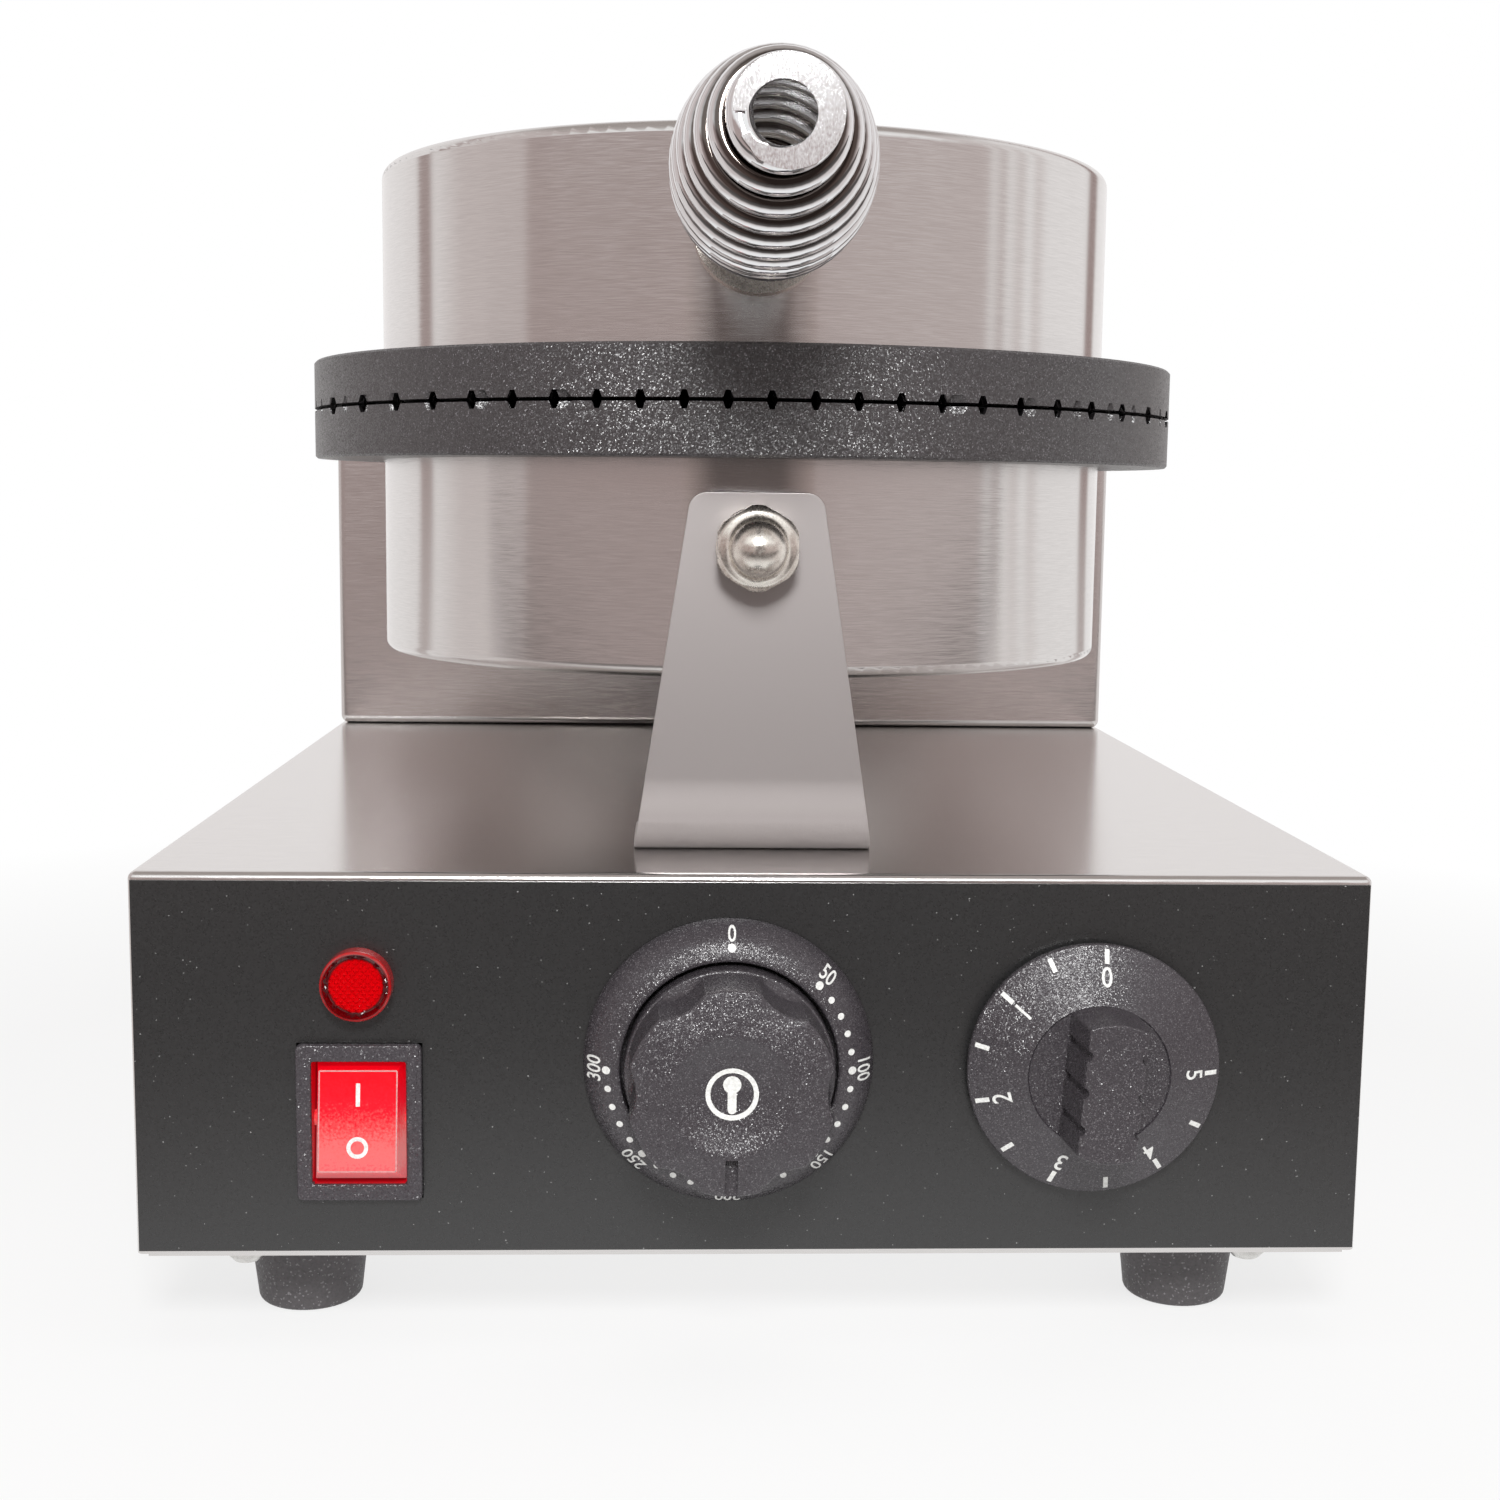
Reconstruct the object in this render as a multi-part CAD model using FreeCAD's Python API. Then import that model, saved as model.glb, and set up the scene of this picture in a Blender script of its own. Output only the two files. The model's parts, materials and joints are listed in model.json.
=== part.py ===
import FreeCAD, Part
import math
import os

V = FreeCAD.Vector

# Sizes in millimetres. The model is made round the upright axis of the baking plates, with the floor at zero
# height, and is then moved along Y until the middle of its whole length is at the origin.
# Clearances
RUN_FIT = 0.05
HOLE_FIT = 0.2
BODY_GAP = 0.3
SEAT_GAP = 0.05
# How far a cutting tool runs past the face it cuts
OVER = 1.0

# Base housing, folded from sheet, with its front panel and bottom cover
BASE_W = 250.0
BASE_H = 78.6
SHEET = 1.2
BASE_BEND_R = 1.6
FLANGE_W = 12.0
WINDOW_W = 50.0
WINDOW_INSET = 12.0
PANEL_T = 0.6
PANEL_EDGE = 0.8
COVER_T = 1.2
COVER_INSET = 2.0
COVER_SLOT_W = 4.0
COVER_SLOT_L = 36.0
COVER_SLOT_PITCH = 12.0
COVER_SLOT_COUNT = 8
COVER_SLOT_ROW = 27.0

# Feet
FOOT_H = 19.8
FOOT_TOP_R = 13.4
FOOT_BOTTOM_R = 11.0
FOOT_EDGE_R = 1.5
FOOT_X = 95.5
FOOT_SETBACK = 32.0
FOOT_RECESS_R = 6.0
FOOT_RECESS_H = 9.0

# Baking plates
PLATE_D = 210.0
PLATE_T = 11.0
PLATE_GAP = 0.8
PLATE_EDGE = 0.5
GRID_PITCH = 8.8
GRID_SHIFT = -2.2
GROOVE_TOP_W = 2.1
GROOVE_FLOOR_W = 1.0
GROOVE_DEPTH = 1.5
GROOVE_OVER = 0.5
SPIGOT_H = 3.0
SPIGOT_T = 3.0

# Heater cans
CAN_D = 177.0
CAN_H = 46.1
CAN_T = 1.0
CAN_EDGE_R = 2.5
HEAD_LIFT = 36.7
PILLAR_RING_R = 74.0
PILLAR_R = 5.0
PILLAR_ANGLES = (0, 90, 180)
PILLAR_HOLE = 14.0
PILLAR_BITE = 12.0

# Heaters
HEATER_R = 3.3
HEATER_RING_R = 56.0
HEATER_OPEN_ANGLE = 40.0
HEATER_LEG = 18.0
CLAMP_R = 66.0
CLAMP_T = 1.5
CLAMP_RING_R = 36.0
CLAMP_BOSS_R = 5.0
CLAMP_ANGLES = (30, 150, 270)
CLAMP_HOLE = 6.0
CLAMP_BITE = 5.0
CLAMP_NOTCH_SIDE = 3.0
CLAMP_NOTCH_Y = 44.8
BULB_R = 3.0
BULB_L = 70.0
BULB_Y = -25.0

# Front bracket and its bolt
BRACKET_SETBACK = 24.5
BRACKET_T = 2.0
BRACKET_H = 75.8
BRACKET_TOP_W = 27.5
BRACKET_FOOT_W = 51.0
BRACKET_CORNER_R = 4.0
BRACKET_BEND_R = 7.0
BRACKET_FOOT_L = 22.0
BRACKET_SCREW_X = 15.3
BRACKET_SCREW_IN = 12.0
SPACER_T = 2.0
SPACER_R = 11.0
BOLT_R = 5.0
BOLT_DROP = 11.4
BOLT_FLATS = 17.0
BOLT_HEAD_T = 6.5
CAP_HEX_H = 8.0
CAP_DOME_R = 7.5
CAP_NECK_H = 2.4
CAP_BORE = 12.0
CAP_BITE = 10.0
WASHER_T = 1.6
WASHER_R = 10.0

# Hinge
HINGE_REACH = 24.5
EYE_R = 10.0
PIN_R = 5.0
EYE_GAP = 1.5
HINGE_PLATE_T = 3.0
HINGE_PLATE_RISE = 6.0
HINGE_PLATE_DROP = 28.0
HINGE_PLATE_IN = 5.0
UPPER_LUG_IN = 22.0
LUG_W = 16.0
LUG_SIDE_GAP = 0.6
LUG_ROOT = 22.0
LUG_UNDER = 1.0
LUG_BLEND = 1.0
HINGE_SCREW_UP = 9.0
HINGE_SCREW_IN = 12.0

# Rear upright
UPRIGHT_D = 46.0
UPRIGHT_INSET = 3.0
UPRIGHT_SIDE = 0.5
UPRIGHT_T = 1.5
UPRIGHT_BEND_R = 2.5
UPRIGHT_DROP = 4.0
UPRIGHT_COVER_T = 1.2
UPRIGHT_COVER_LIFT = 0.5
UPRIGHT_SLOT_COUNT = 5
UPRIGHT_SLOT_L = 90.0
UPRIGHT_SLOT_W = 4.0
UPRIGHT_SLOT_PITCH = 9.0
UPRIGHT_SCREW_INSETS = (30.0, 80.0)
REAR_SCREW_INSET = 18.0

# Lead tube between the base and the lower can
NIPPLE_R = 8.0
NIPPLE_BORE_R = 6.0
NIPPLE_END = 9.0
NIPPLE_NUT_T = 4.0
NIPPLE_NUT_FLATS = 22.0

# Bushes for the leads of the upper head
BUSH_NECK_R = 6.0
BUSH_FLANGE_R = 8.5
BUSH_FLANGE_T = 3.0
BUSH_BORE_R = 4.0
BUSH_OUT = 5.0
BUSH_IN = 6.0

# Coil handle
HANDLE_LIFT = 24.4
HANDLE_TILT = 3.9
COIL_WIRE = 4.6
COIL_LENGTH = 85.0
COIL_TURNS = 14
COIL_MAX_R = 16.9
COIL_PLAIN_TURNS = 0.75
COIL_BARREL = 0.8
COIL_GRIP = 0.25
STUD_R = 4.9
STUD_INSIDE = 13.0
STUD_REACH = 24.0
HANDLE_WASHER_R = 14.0
HANDLE_WASHER_T = 3.0
HANDLE_WASHER_SEAT = 4.0
HANDLE_NUT_T = 5.0
HANDLE_NUT_FLATS = 17.0

# Controls on the front panel, heights above the lower edge of the housing
LAMP_X = -79.6
LAMP_Z = 56.5
LAMP_R = 7.15
LAMP_NECK_R = 6.0
LAMP_OUT = 4.4
LAMP_FACE_T = 2.2
LAMP_BEVEL = 1.0
LAMP_HOLLOW_R = 5.2
LAMP_FLANGE_T = 0.8
LAMP_FLANGE_IN = 0.2
LAMP_DEPTH = 20.0
LAMP_BORE_R = 4.6
LAMP_BORE = 16.0
SWITCH_X = -79.5
SWITCH_Z = 28.0
BEZEL_W = 25.1
BEZEL_H = 32.2
BEZEL_T = 2.0
BEZEL_LIP = 2.0
BEZEL_EDGE_R = 0.9
ROCKER_OPEN_W = 18.8
ROCKER_OPEN_H = 25.2
ROCKER_FACE_W = 15.9
ROCKER_FACE_H = 20.5
ROCKER_OUT = 1.5
ROCKER_PIVOT_IN = 2.5
ROCKER_TILT = 9.0
ROCKER_ROOM = 4.0
SWITCH_DEPTH = 22.0
TRUNNION_R = 1.6
TRUNNION_L = 1.0
THERMO_X = -5.5
THERMO_Z = 40.7
DIAL_R = 29.2
DIAL_BORE_R = 21.7
DIAL_T = 7.4
DIAL_FLOOR = 1.2
DIAL_WALL = 1.2
DIAL_BEND_R = 26.0
DIAL_BEND_H = 5.8
DIAL_RIM = 0.6
KNOB_R = 20.0
KNOB_SKIRT_R = 20.8
KNOB_BACK = 3.4
KNOB_SKIRT_H = 7.0
KNOB_OUT = 26.0
KNOB_TAPER = 0.4
KNOB_EDGE = 0.5
KNOB_CROWN = 6.0
FLUTE_COUNT = 6
FLUTE_R = 10.8
FLUTE_DEPTH = 1.85
DISH_R = 11.2
DISH_DEPTH = 1.6
POINTER_W = 2.4
POINTER_DEPTH = 0.9
POINTER_RUN = 0.6
TIMER_X = 68.2
TIMER_Z = 39.8
TIMER_R = 25.7
TIMER_BACK = 2.2
TIMER_DISC_T = 3.2
TIMER_OUT = 22.0
TIMER_EDGE = 0.8
HUB_R = 15.2
HUB_H = 0.6
GRIP_R = 14.5
GRIP_W = 11.6
GRIP_TAPER = 0.6
GRIP_EDGE_R = 0.8
GRIP_GROOVE_R = 1.1
GRIP_GROOVE_PITCH = 7.4
GRIP_GROOVE_OUT = 0.33
GRIP_GROOVE_END = 1.5
TIMER_REST_TURN = 4.0
SHAFT_R = 3.0
SHAFT_ROOM = 2.0
SHAFT_IN = 9.0
SHAFT_END = 0.3
UNIT_SCREW_X = 14.0
UNIT_HEAD_R = 3.6
UNIT_HEAD_H = 1.5
UNIT_BITE = 6.0
UNIT_HOLE = 9.0
UNIT_PLATE_T = 2.0
UNIT_PLATE_H = 32.0
UNIT_PLATE_END = 8.0
THERMO_CASE = (42.0, 34.0, 26.0)
TIMER_CASE = (46.0, 46.0, 32.0)

# Terminal block
TERMINAL_X = -62.0
TERMINAL_SETBACK = 70.0
TERMINAL_W = 56.0
TERMINAL_D = 22.0
TERMINAL_H = 16.0
TERMINAL_WAYS = 4
TERMINAL_PITCH = 14.0
TERMINAL_SCREW_R = 2.6
TERMINAL_SCREW_Z = 7.0
TERMINAL_WIRE_R = 2.0
TERMINAL_WIRE_Z = 6.0

# Cord entry
GLAND_X = -70.0
GLAND_Z = 30.0
GLAND_BORE_R = 4.25
GLAND_THREAD_R = 8.0
GLAND_FLATS = 22.0
GLAND_OUT = 12.0
GLAND_IN = 12.0
GLAND_HEX_T = 4.8
GLAND_DOME_R = 9.5
GLAND_DOME_T = 9.0
GLAND_DOME_EDGE = 2.5
GLAND_NUT_T = 5.0

# Small screws
SCREW_R = 2.0
SCREW_HEAD_R = 3.9
SCREW_HEAD_H = 2.3
SCREW_BITE = 4.0
SCREW_END = 2.0
HEAD_TOP_SHARE = 0.7
HEAD_EDGE_SHARE = 0.45
M5_R = 2.5
M5_HEAD_R = 4.6
M5_HEAD_H = 3.0
M5_NUT_FLATS = 8.0
M5_NUT_T = 4.0
COVER_SCREW_X = 104.0

# Levels worked out from the sizes above
Z_HOUSING = FOOT_H + COVER_T
Z_TOP = Z_HOUSING + BASE_H
Z_CAN_LOW = Z_TOP + HEAD_LIFT
Z_LOW_BACK = Z_CAN_LOW + CAN_H
Z_LOW_FACE = Z_LOW_BACK + PLATE_T
Z_UP_FACE = Z_LOW_FACE + PLATE_GAP
Z_UP_BACK = Z_UP_FACE + PLATE_T
Z_CAN_TOP = Z_UP_BACK + CAN_H
Z_HINGE = (Z_LOW_FACE + Z_UP_FACE) / 2
Z_BOLT = Z_TOP + BRACKET_H - BOLT_DROP
Z_HANDLE = Z_UP_BACK + HANDLE_LIFT
CAN_R = CAN_D / 2
PLATE_R = PLATE_D / 2
Y_BRACKET_BACK = -CAN_R - SPACER_T
Y_BRACKET = Y_BRACKET_BACK - BRACKET_T
Y_PANEL = Y_BRACKET - BRACKET_SETBACK
Y_HOUSING = Y_PANEL + PANEL_T
Y_INSIDE = Y_HOUSING + SHEET
Y_HINGE = PLATE_R + HINGE_REACH
Y_HINGE_PLATE = Y_HINGE + EYE_R + EYE_GAP
Y_UPRIGHT = Y_HINGE_PLATE + HINGE_PLATE_T
Y_UPRIGHT_REAR = Y_UPRIGHT + UPRIGHT_D
Y_REAR = Y_UPRIGHT_REAR + UPRIGHT_INSET
Z_UPRIGHT = Z_HINGE - UPRIGHT_DROP
UPPER_LUG_OUT = UPPER_LUG_IN + LUG_W
LOWER_LUG_IN = UPPER_LUG_OUT + LUG_SIDE_GAP
LOWER_LUG_OUT = LOWER_LUG_IN + LUG_W
EAR_IN = LOWER_LUG_OUT + LUG_SIDE_GAP
EAR_OUT = EAR_IN + HINGE_PLATE_T
COIL_END_R = STUD_R + COIL_GRIP + COIL_WIRE / 2
COIL_ROOT = HANDLE_WASHER_T + HANDLE_NUT_T + SEAT_GAP
Y_TIP = -CAN_R - (COIL_ROOT + COIL_LENGTH) * math.cos(math.radians(HANDLE_TILT))
Y_MIDDLE = (Y_TIP + Y_REAR + GLAND_OUT) / 2
FLANGE_MIDDLE = (SHEET + FLANGE_W) / 2
SIDES = (-1, 1)

# The two heads: out points from the baking face towards the closed end of the can
LOWER = {"face": Z_LOW_FACE, "back": Z_LOW_BACK, "end": Z_CAN_LOW, "out": -1,
         "lugs": (LOWER_LUG_IN, LOWER_LUG_OUT)}
UPPER = {"face": Z_UP_FACE, "back": Z_UP_BACK, "end": Z_CAN_TOP, "out": 1,
         "lugs": (UPPER_LUG_IN, UPPER_LUG_OUT)}


def box(x0, x1, y0, y1, z0, z1):
    return Part.makeBox(x1 - x0, y1 - y0, z1 - z0, V(x0, y0, z0))


def rod_x(x0, x1, y, z, radius):
    return Part.makeCylinder(radius, x1 - x0, V(x0, y, z), V(1, 0, 0))


def rod_y(y0, y1, x, z, radius):
    return Part.makeCylinder(radius, y1 - y0, V(x, y0, z), V(0, 1, 0))


def rod_z(z0, z1, x, y, radius):
    low = min(z0, z1)
    return Part.makeCylinder(radius, abs(z1 - z0), V(x, y, low), V(0, 0, 1))


def polygon(points):
    return Part.Face(Part.makePolygon(points + [points[0]]))


def placed(shape, point, direction):
    place = FreeCAD.Placement(point, FreeCAD.Rotation(V(0, 0, 1), direction))
    return shape.transformed(place.toMatrix(), True)


# A turned piece: the profile lists radius and height along the direction
def turned(profile, point, direction):
    face = polygon([V(r, 0, h) for r, h in profile])
    solid = face.revolve(V(0, 0, 0), V(0, 0, 1), 360)
    return placed(solid, point, direction)


def hex_bar(point, direction, flats, length):
    corner = flats / math.sqrt(3)
    angles = [math.radians(90 + 60 * k) for k in range(6)]
    face = polygon([V(corner * math.cos(a), corner * math.sin(a), 0) for a in angles])
    return placed(face.extrude(V(0, 0, length)), point, direction)


def bored(shape, point, direction, radius, length):
    return shape.cut(Part.makeCylinder(radius, length, point, direction))


def nut(point, direction, flats, thick, radius):
    return bored(hex_bar(point, direction, flats, thick), point, direction, radius + RUN_FIT, thick)


# A screw whose head stands on the point and whose shank runs along the direction
def screw(point, direction, head_r, head_h, shank_r, length):
    profile = [(0, -head_h), (head_r * HEAD_TOP_SHARE, -head_h), (head_r, -head_h * HEAD_EDGE_SHARE),
               (head_r, 0), (shank_r, 0), (shank_r, length), (0, length)]
    return turned(profile, point, direction)


def m4_screw(point, direction, length):
    return screw(point, direction, SCREW_HEAD_R, SCREW_HEAD_H, SCREW_R, length)


def m5_screw(point, direction, length):
    return screw(point, direction, M5_HEAD_R, M5_HEAD_H, M5_R, length)


# A domed nut with a blind thread
def cap_nut(point, direction, radius):
    high = CAP_HEX_H + CAP_NECK_H
    neck = turned([(0, 0), (CAP_DOME_R, 0), (CAP_DOME_R, high), (0, high)], point, direction)
    dome = Part.makeSphere(CAP_DOME_R, point + direction * high)
    body = hex_bar(point, direction, BOLT_FLATS, CAP_HEX_H).multiFuse([neck, dome]).removeSplitter()
    return bored(body, point, direction, radius + RUN_FIT, CAP_BORE)


# A box folded from sheet, with return flanges round its open side
def folded_shell(low, high, wall, bend, flange, open_back):
    outer = box(low.x, high.x, low.y, high.y, low.z, high.z)
    folds = []
    for edge in outer.Edges:
        if open_back:
            closed = edge.BoundBox.YMin < high.y - wall
        else:
            closed = edge.BoundBox.ZMax > low.z + wall
        if closed:
            folds.append(edge)
    outer = outer.makeFillet(bend, folds)
    inner = box(low.x + wall, high.x - wall, low.y + wall, high.y - wall, low.z + wall, high.z - wall)
    if open_back:
        window = box(low.x + flange, high.x - flange, high.y - 2 * wall, high.y + wall,
                     low.z + flange, high.z - flange)
    else:
        window = box(low.x + flange, high.x - flange, low.y + flange, high.y - flange,
                     low.z - wall, low.z + 2 * wall)
    return outer.cut([inner, window])


# Places shared by pieces that are screwed together
FOOT_SPOTS = [(x * FOOT_X, y) for x in SIDES for y in (Y_PANEL + FOOT_SETBACK, Y_REAR - FOOT_SETBACK)]
COVER_SPOTS = [(x * COVER_SCREW_X, y) for x in SIDES
               for y in (Y_HOUSING + FLANGE_MIDDLE, Y_REAR - FLANGE_MIDDLE)]
BRACKET_SPOTS = [(x * BRACKET_SCREW_X, Y_BRACKET + BRACKET_BEND_R + BRACKET_SCREW_IN) for x in SIDES]
UPRIGHT_SPOTS = [(x * (BASE_W / 2 - k), Y_UPRIGHT + UPRIGHT_D / 2)
                 for k in UPRIGHT_SCREW_INSETS for x in SIDES]
HINGE_SPOTS = [(x * k, Z_HINGE - HINGE_PLATE_DROP + HINGE_SCREW_UP) for x in SIDES
               for k in (HINGE_SCREW_IN, EAR_IN - HINGE_SCREW_IN)]
REAR_SPOTS = [(x * (BASE_W / 2 - UPRIGHT_SIDE - FLANGE_MIDDLE), z) for x in SIDES
              for z in (Z_TOP + REAR_SCREW_INSET, Z_UPRIGHT - REAR_SCREW_INSET)]
PILLAR_SPOTS = [(PILLAR_RING_R * math.cos(math.radians(a)), PILLAR_RING_R * math.sin(math.radians(a)))
                for a in PILLAR_ANGLES]
CLAMP_SPOTS = [(CLAMP_RING_R * math.cos(math.radians(a)), CLAMP_RING_R * math.sin(math.radians(a)))
               for a in CLAMP_ANGLES]
UNIT_SPOTS = [(x + side * UNIT_SCREW_X, z) for x, z in ((THERMO_X, THERMO_Z), (TIMER_X, TIMER_Z))
              for side in SIDES]
THERMO_AT = V(THERMO_X, Y_PANEL, Z_HOUSING + THERMO_Z)
TIMER_AT = V(TIMER_X, Y_PANEL, Z_HOUSING + TIMER_Z)
LAMP_AT = V(LAMP_X, Y_PANEL, Z_HOUSING + LAMP_Z)
SWITCH_AT = V(SWITCH_X, Y_PANEL, Z_HOUSING + SWITCH_Z)
FORWARD = V(0, -1, 0)
BACKWARD = V(0, 1, 0)
UP = V(0, 0, 1)
DOWN = V(0, 0, -1)


# Openings that the panel and the front wall of the housing share
def control_openings(y0, y1):
    body_w = BEZEL_W / 2 - BEZEL_LIP + HOLE_FIT
    body_h = BEZEL_H / 2 - BEZEL_LIP + HOLE_FIT
    z = Z_HOUSING + SWITCH_Z
    tools = [box(SWITCH_X - body_w, SWITCH_X + body_w, y0, y1, z - body_h, z + body_h)]
    tools.append(rod_y(y0, y1, LAMP_X, Z_HOUSING + LAMP_Z, LAMP_NECK_R + HOLE_FIT))
    tools.append(rod_y(y0, y1, THERMO_X, Z_HOUSING + THERMO_Z, SHAFT_R + SHAFT_ROOM))
    tools.append(rod_y(y0, y1, TIMER_X, Z_HOUSING + TIMER_Z, SHAFT_R + SHAFT_ROOM))
    tools += [rod_y(y0, y1, x, Z_HOUSING + z, SCREW_R + HOLE_FIT) for x, z in UNIT_SPOTS]
    return tools


# The window for leads between the base and the upright
def lead_window(z0, z1):
    return box(-WINDOW_W / 2, WINDOW_W / 2, Y_UPRIGHT + WINDOW_INSET, Y_UPRIGHT_REAR - WINDOW_INSET, z0, z1)


def base_housing():
    low = V(-BASE_W / 2, Y_HOUSING, Z_HOUSING)
    high = V(BASE_W / 2, Y_REAR, Z_TOP)
    shell = folded_shell(low, high, SHEET, BASE_BEND_R, FLANGE_W, False)
    z0 = Z_TOP - 2 * SHEET
    z1 = Z_TOP + SHEET
    tools = control_openings(Y_HOUSING - SHEET, Y_HOUSING + 2 * SHEET)
    tools.append(rod_z(z0, z1, 0, 0, NIPPLE_R + HOLE_FIT))
    tools += [rod_z(z0, z1, x, y, M5_R + HOLE_FIT) for x, y in BRACKET_SPOTS + UPRIGHT_SPOTS]
    tools.append(lead_window(z0, z1))
    tools.append(rod_y(Y_REAR - 2 * SHEET, Y_REAR + SHEET, GLAND_X, Z_HOUSING + GLAND_Z,
                       GLAND_THREAD_R + HOLE_FIT))
    tools += [rod_z(Z_HOUSING - SHEET, Z_HOUSING + 2 * SHEET, x, y, SCREW_R + HOLE_FIT)
              for x, y in COVER_SPOTS]
    return shell.cut(tools)


def control_panel():
    half = BASE_W / 2 - PANEL_EDGE
    plate = box(-half, half, Y_PANEL, Y_HOUSING, Z_HOUSING + PANEL_EDGE, Z_TOP - BASE_BEND_R)
    return plate.cut(control_openings(Y_PANEL - PANEL_T, Y_HOUSING + PANEL_T))


def bottom_cover():
    half = BASE_W / 2 - COVER_INSET
    plate = box(-half, half, Y_HOUSING + COVER_INSET, Y_REAR - COVER_INSET, FOOT_H, Z_HOUSING)
    z0 = FOOT_H - COVER_T
    z1 = Z_HOUSING + COVER_T
    tools = [rod_z(z0, z1, x, y, SCREW_R + HOLE_FIT) for x, y in COVER_SPOTS]
    tools += [rod_z(z0, z1, x, y, M5_R + HOLE_FIT) for x, y in FOOT_SPOTS]
    middle = (Y_HOUSING + Y_REAR) / 2
    for row in SIDES:
        for k in range(COVER_SLOT_COUNT):
            x = (k - (COVER_SLOT_COUNT - 1) / 2) * COVER_SLOT_PITCH
            y = middle + row * COVER_SLOT_ROW
            tools.append(box(x - COVER_SLOT_W / 2, x + COVER_SLOT_W / 2,
                             y - COVER_SLOT_L / 2, y + COVER_SLOT_L / 2, z0, z1))
    return plate.cut(tools)


def rubber_feet():
    feet = []
    for x, y in FOOT_SPOTS:
        foot = Part.makeCone(FOOT_BOTTOM_R, FOOT_TOP_R, FOOT_H, V(x, y, 0))
        rim = [e for e in foot.Edges if e.BoundBox.ZMax < FOOT_H / 2 and len(e.Vertexes) == 1]
        foot = foot.makeFillet(FOOT_EDGE_R, rim)
        recess = rod_z(-OVER, FOOT_RECESS_H, x, y, FOOT_RECESS_R)
        feet.append(foot.cut([recess, rod_z(-OVER, FOOT_H + OVER, x, y, M5_R + HOLE_FIT)]))
    return feet


def foot_screws():
    pieces = []
    for x, y in FOOT_SPOTS:
        pieces.append(m5_screw(V(x, y, FOOT_RECESS_H), UP, Z_HOUSING - FOOT_RECESS_H + M5_NUT_T + SCREW_END))
        pieces.append(nut(V(x, y, Z_HOUSING), UP, M5_NUT_FLATS, M5_NUT_T, M5_R))
    return pieces


def cover_screws():
    return [m4_screw(V(x, y, FOOT_H), UP, COVER_T + SHEET + SCREW_BITE) for x, y in COVER_SPOTS]


# A folded strap: a tapering front with a foot turned back under the can
def front_bracket():
    top = Z_TOP + BRACKET_H
    t = BRACKET_T
    r = BRACKET_BEND_R
    y0 = Y_BRACKET
    y1 = y0 + r + BRACKET_FOOT_L
    slant = math.sqrt(0.5)
    middle_y = y0 + r
    middle_z = Z_TOP + r
    outer = Part.Arc(V(0, y0, middle_z), V(0, middle_y - r * slant, middle_z - r * slant),
                     V(0, middle_y, Z_TOP))
    inner = Part.Arc(V(0, middle_y, Z_TOP + t), V(0, middle_y - (r - t) * slant, middle_z - (r - t) * slant),
                     V(0, y0 + t, middle_z))
    edges = [Part.makeLine(V(0, y0, top), V(0, y0, middle_z)), outer.toShape(),
             Part.makeLine(V(0, middle_y, Z_TOP), V(0, y1, Z_TOP)),
             Part.makeLine(V(0, y1, Z_TOP), V(0, y1, Z_TOP + t)),
             Part.makeLine(V(0, y1, Z_TOP + t), V(0, middle_y, Z_TOP + t)), inner.toShape(),
             Part.makeLine(V(0, y0 + t, middle_z), V(0, y0 + t, top)),
             Part.makeLine(V(0, y0 + t, top), V(0, y0, top))]
    strip = Part.Face(Part.Wire(edges)).extrude(V(BRACKET_FOOT_W, 0, 0))
    strip.translate(V(-BRACKET_FOOT_W / 2, 0, 0))
    wide = BRACKET_FOOT_W / 2
    narrow = BRACKET_TOP_W / 2
    outline = polygon([V(-wide, y0 - OVER, Z_TOP - OVER), V(wide, y0 - OVER, Z_TOP - OVER),
                       V(narrow, y0 - OVER, top), V(-narrow, y0 - OVER, top)])
    taper = outline.extrude(V(0, y1 - y0 + 2 * OVER, 0))
    corners = [e for e in taper.Edges if e.BoundBox.ZMin > top - OVER and e.BoundBox.XLength < OVER]
    strap = strip.common(taper.makeFillet(BRACKET_CORNER_R, corners))
    tools = [rod_y(y0 - OVER, y0 + t + OVER, 0, Z_BOLT, BOLT_R + HOLE_FIT)]
    tools += [rod_z(Z_TOP - OVER, Z_TOP + t + OVER, x, y, M5_R + HOLE_FIT) for x, y in BRACKET_SPOTS]
    return strap.cut(tools)


def bracket_screws():
    pieces = []
    for x, y in BRACKET_SPOTS:
        pieces.append(m5_screw(V(x, y, Z_TOP + BRACKET_T), DOWN, BRACKET_T + SHEET + M5_NUT_T + SCREW_END))
        pieces.append(nut(V(x, y, Z_TOP - SHEET), DOWN, M5_NUT_FLATS, M5_NUT_T, M5_R))
    return pieces


# How far a flat face of this half width must stay off the inside of the can wall
def wall_sag(half_width):
    inner = CAN_R - CAN_T
    return inner - math.sqrt(inner * inner - half_width * half_width)


def front_bolt():
    head_face = -CAN_R + CAN_T + wall_sag(BOLT_FLATS / math.sqrt(3)) + SEAT_GAP
    head = hex_bar(V(0, head_face, Z_BOLT), BACKWARD, BOLT_FLATS, BOLT_HEAD_T)
    shank = rod_y(Y_BRACKET - WASHER_T - CAP_BITE, head_face + OVER, 0, Z_BOLT, BOLT_R)
    return head.fuse(shank)


def front_spacer():
    disc = rod_y(Y_BRACKET_BACK, -CAN_R + SPACER_T, 0, Z_BOLT, SPACER_R)
    can = rod_z(Z_CAN_LOW, Z_LOW_BACK, 0, 0, CAN_R + SEAT_GAP)
    hole = rod_y(Y_BRACKET_BACK - OVER, -CAN_R + 2 * SPACER_T, 0, Z_BOLT, BOLT_R + RUN_FIT)
    return disc.cut([can, hole])


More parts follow.
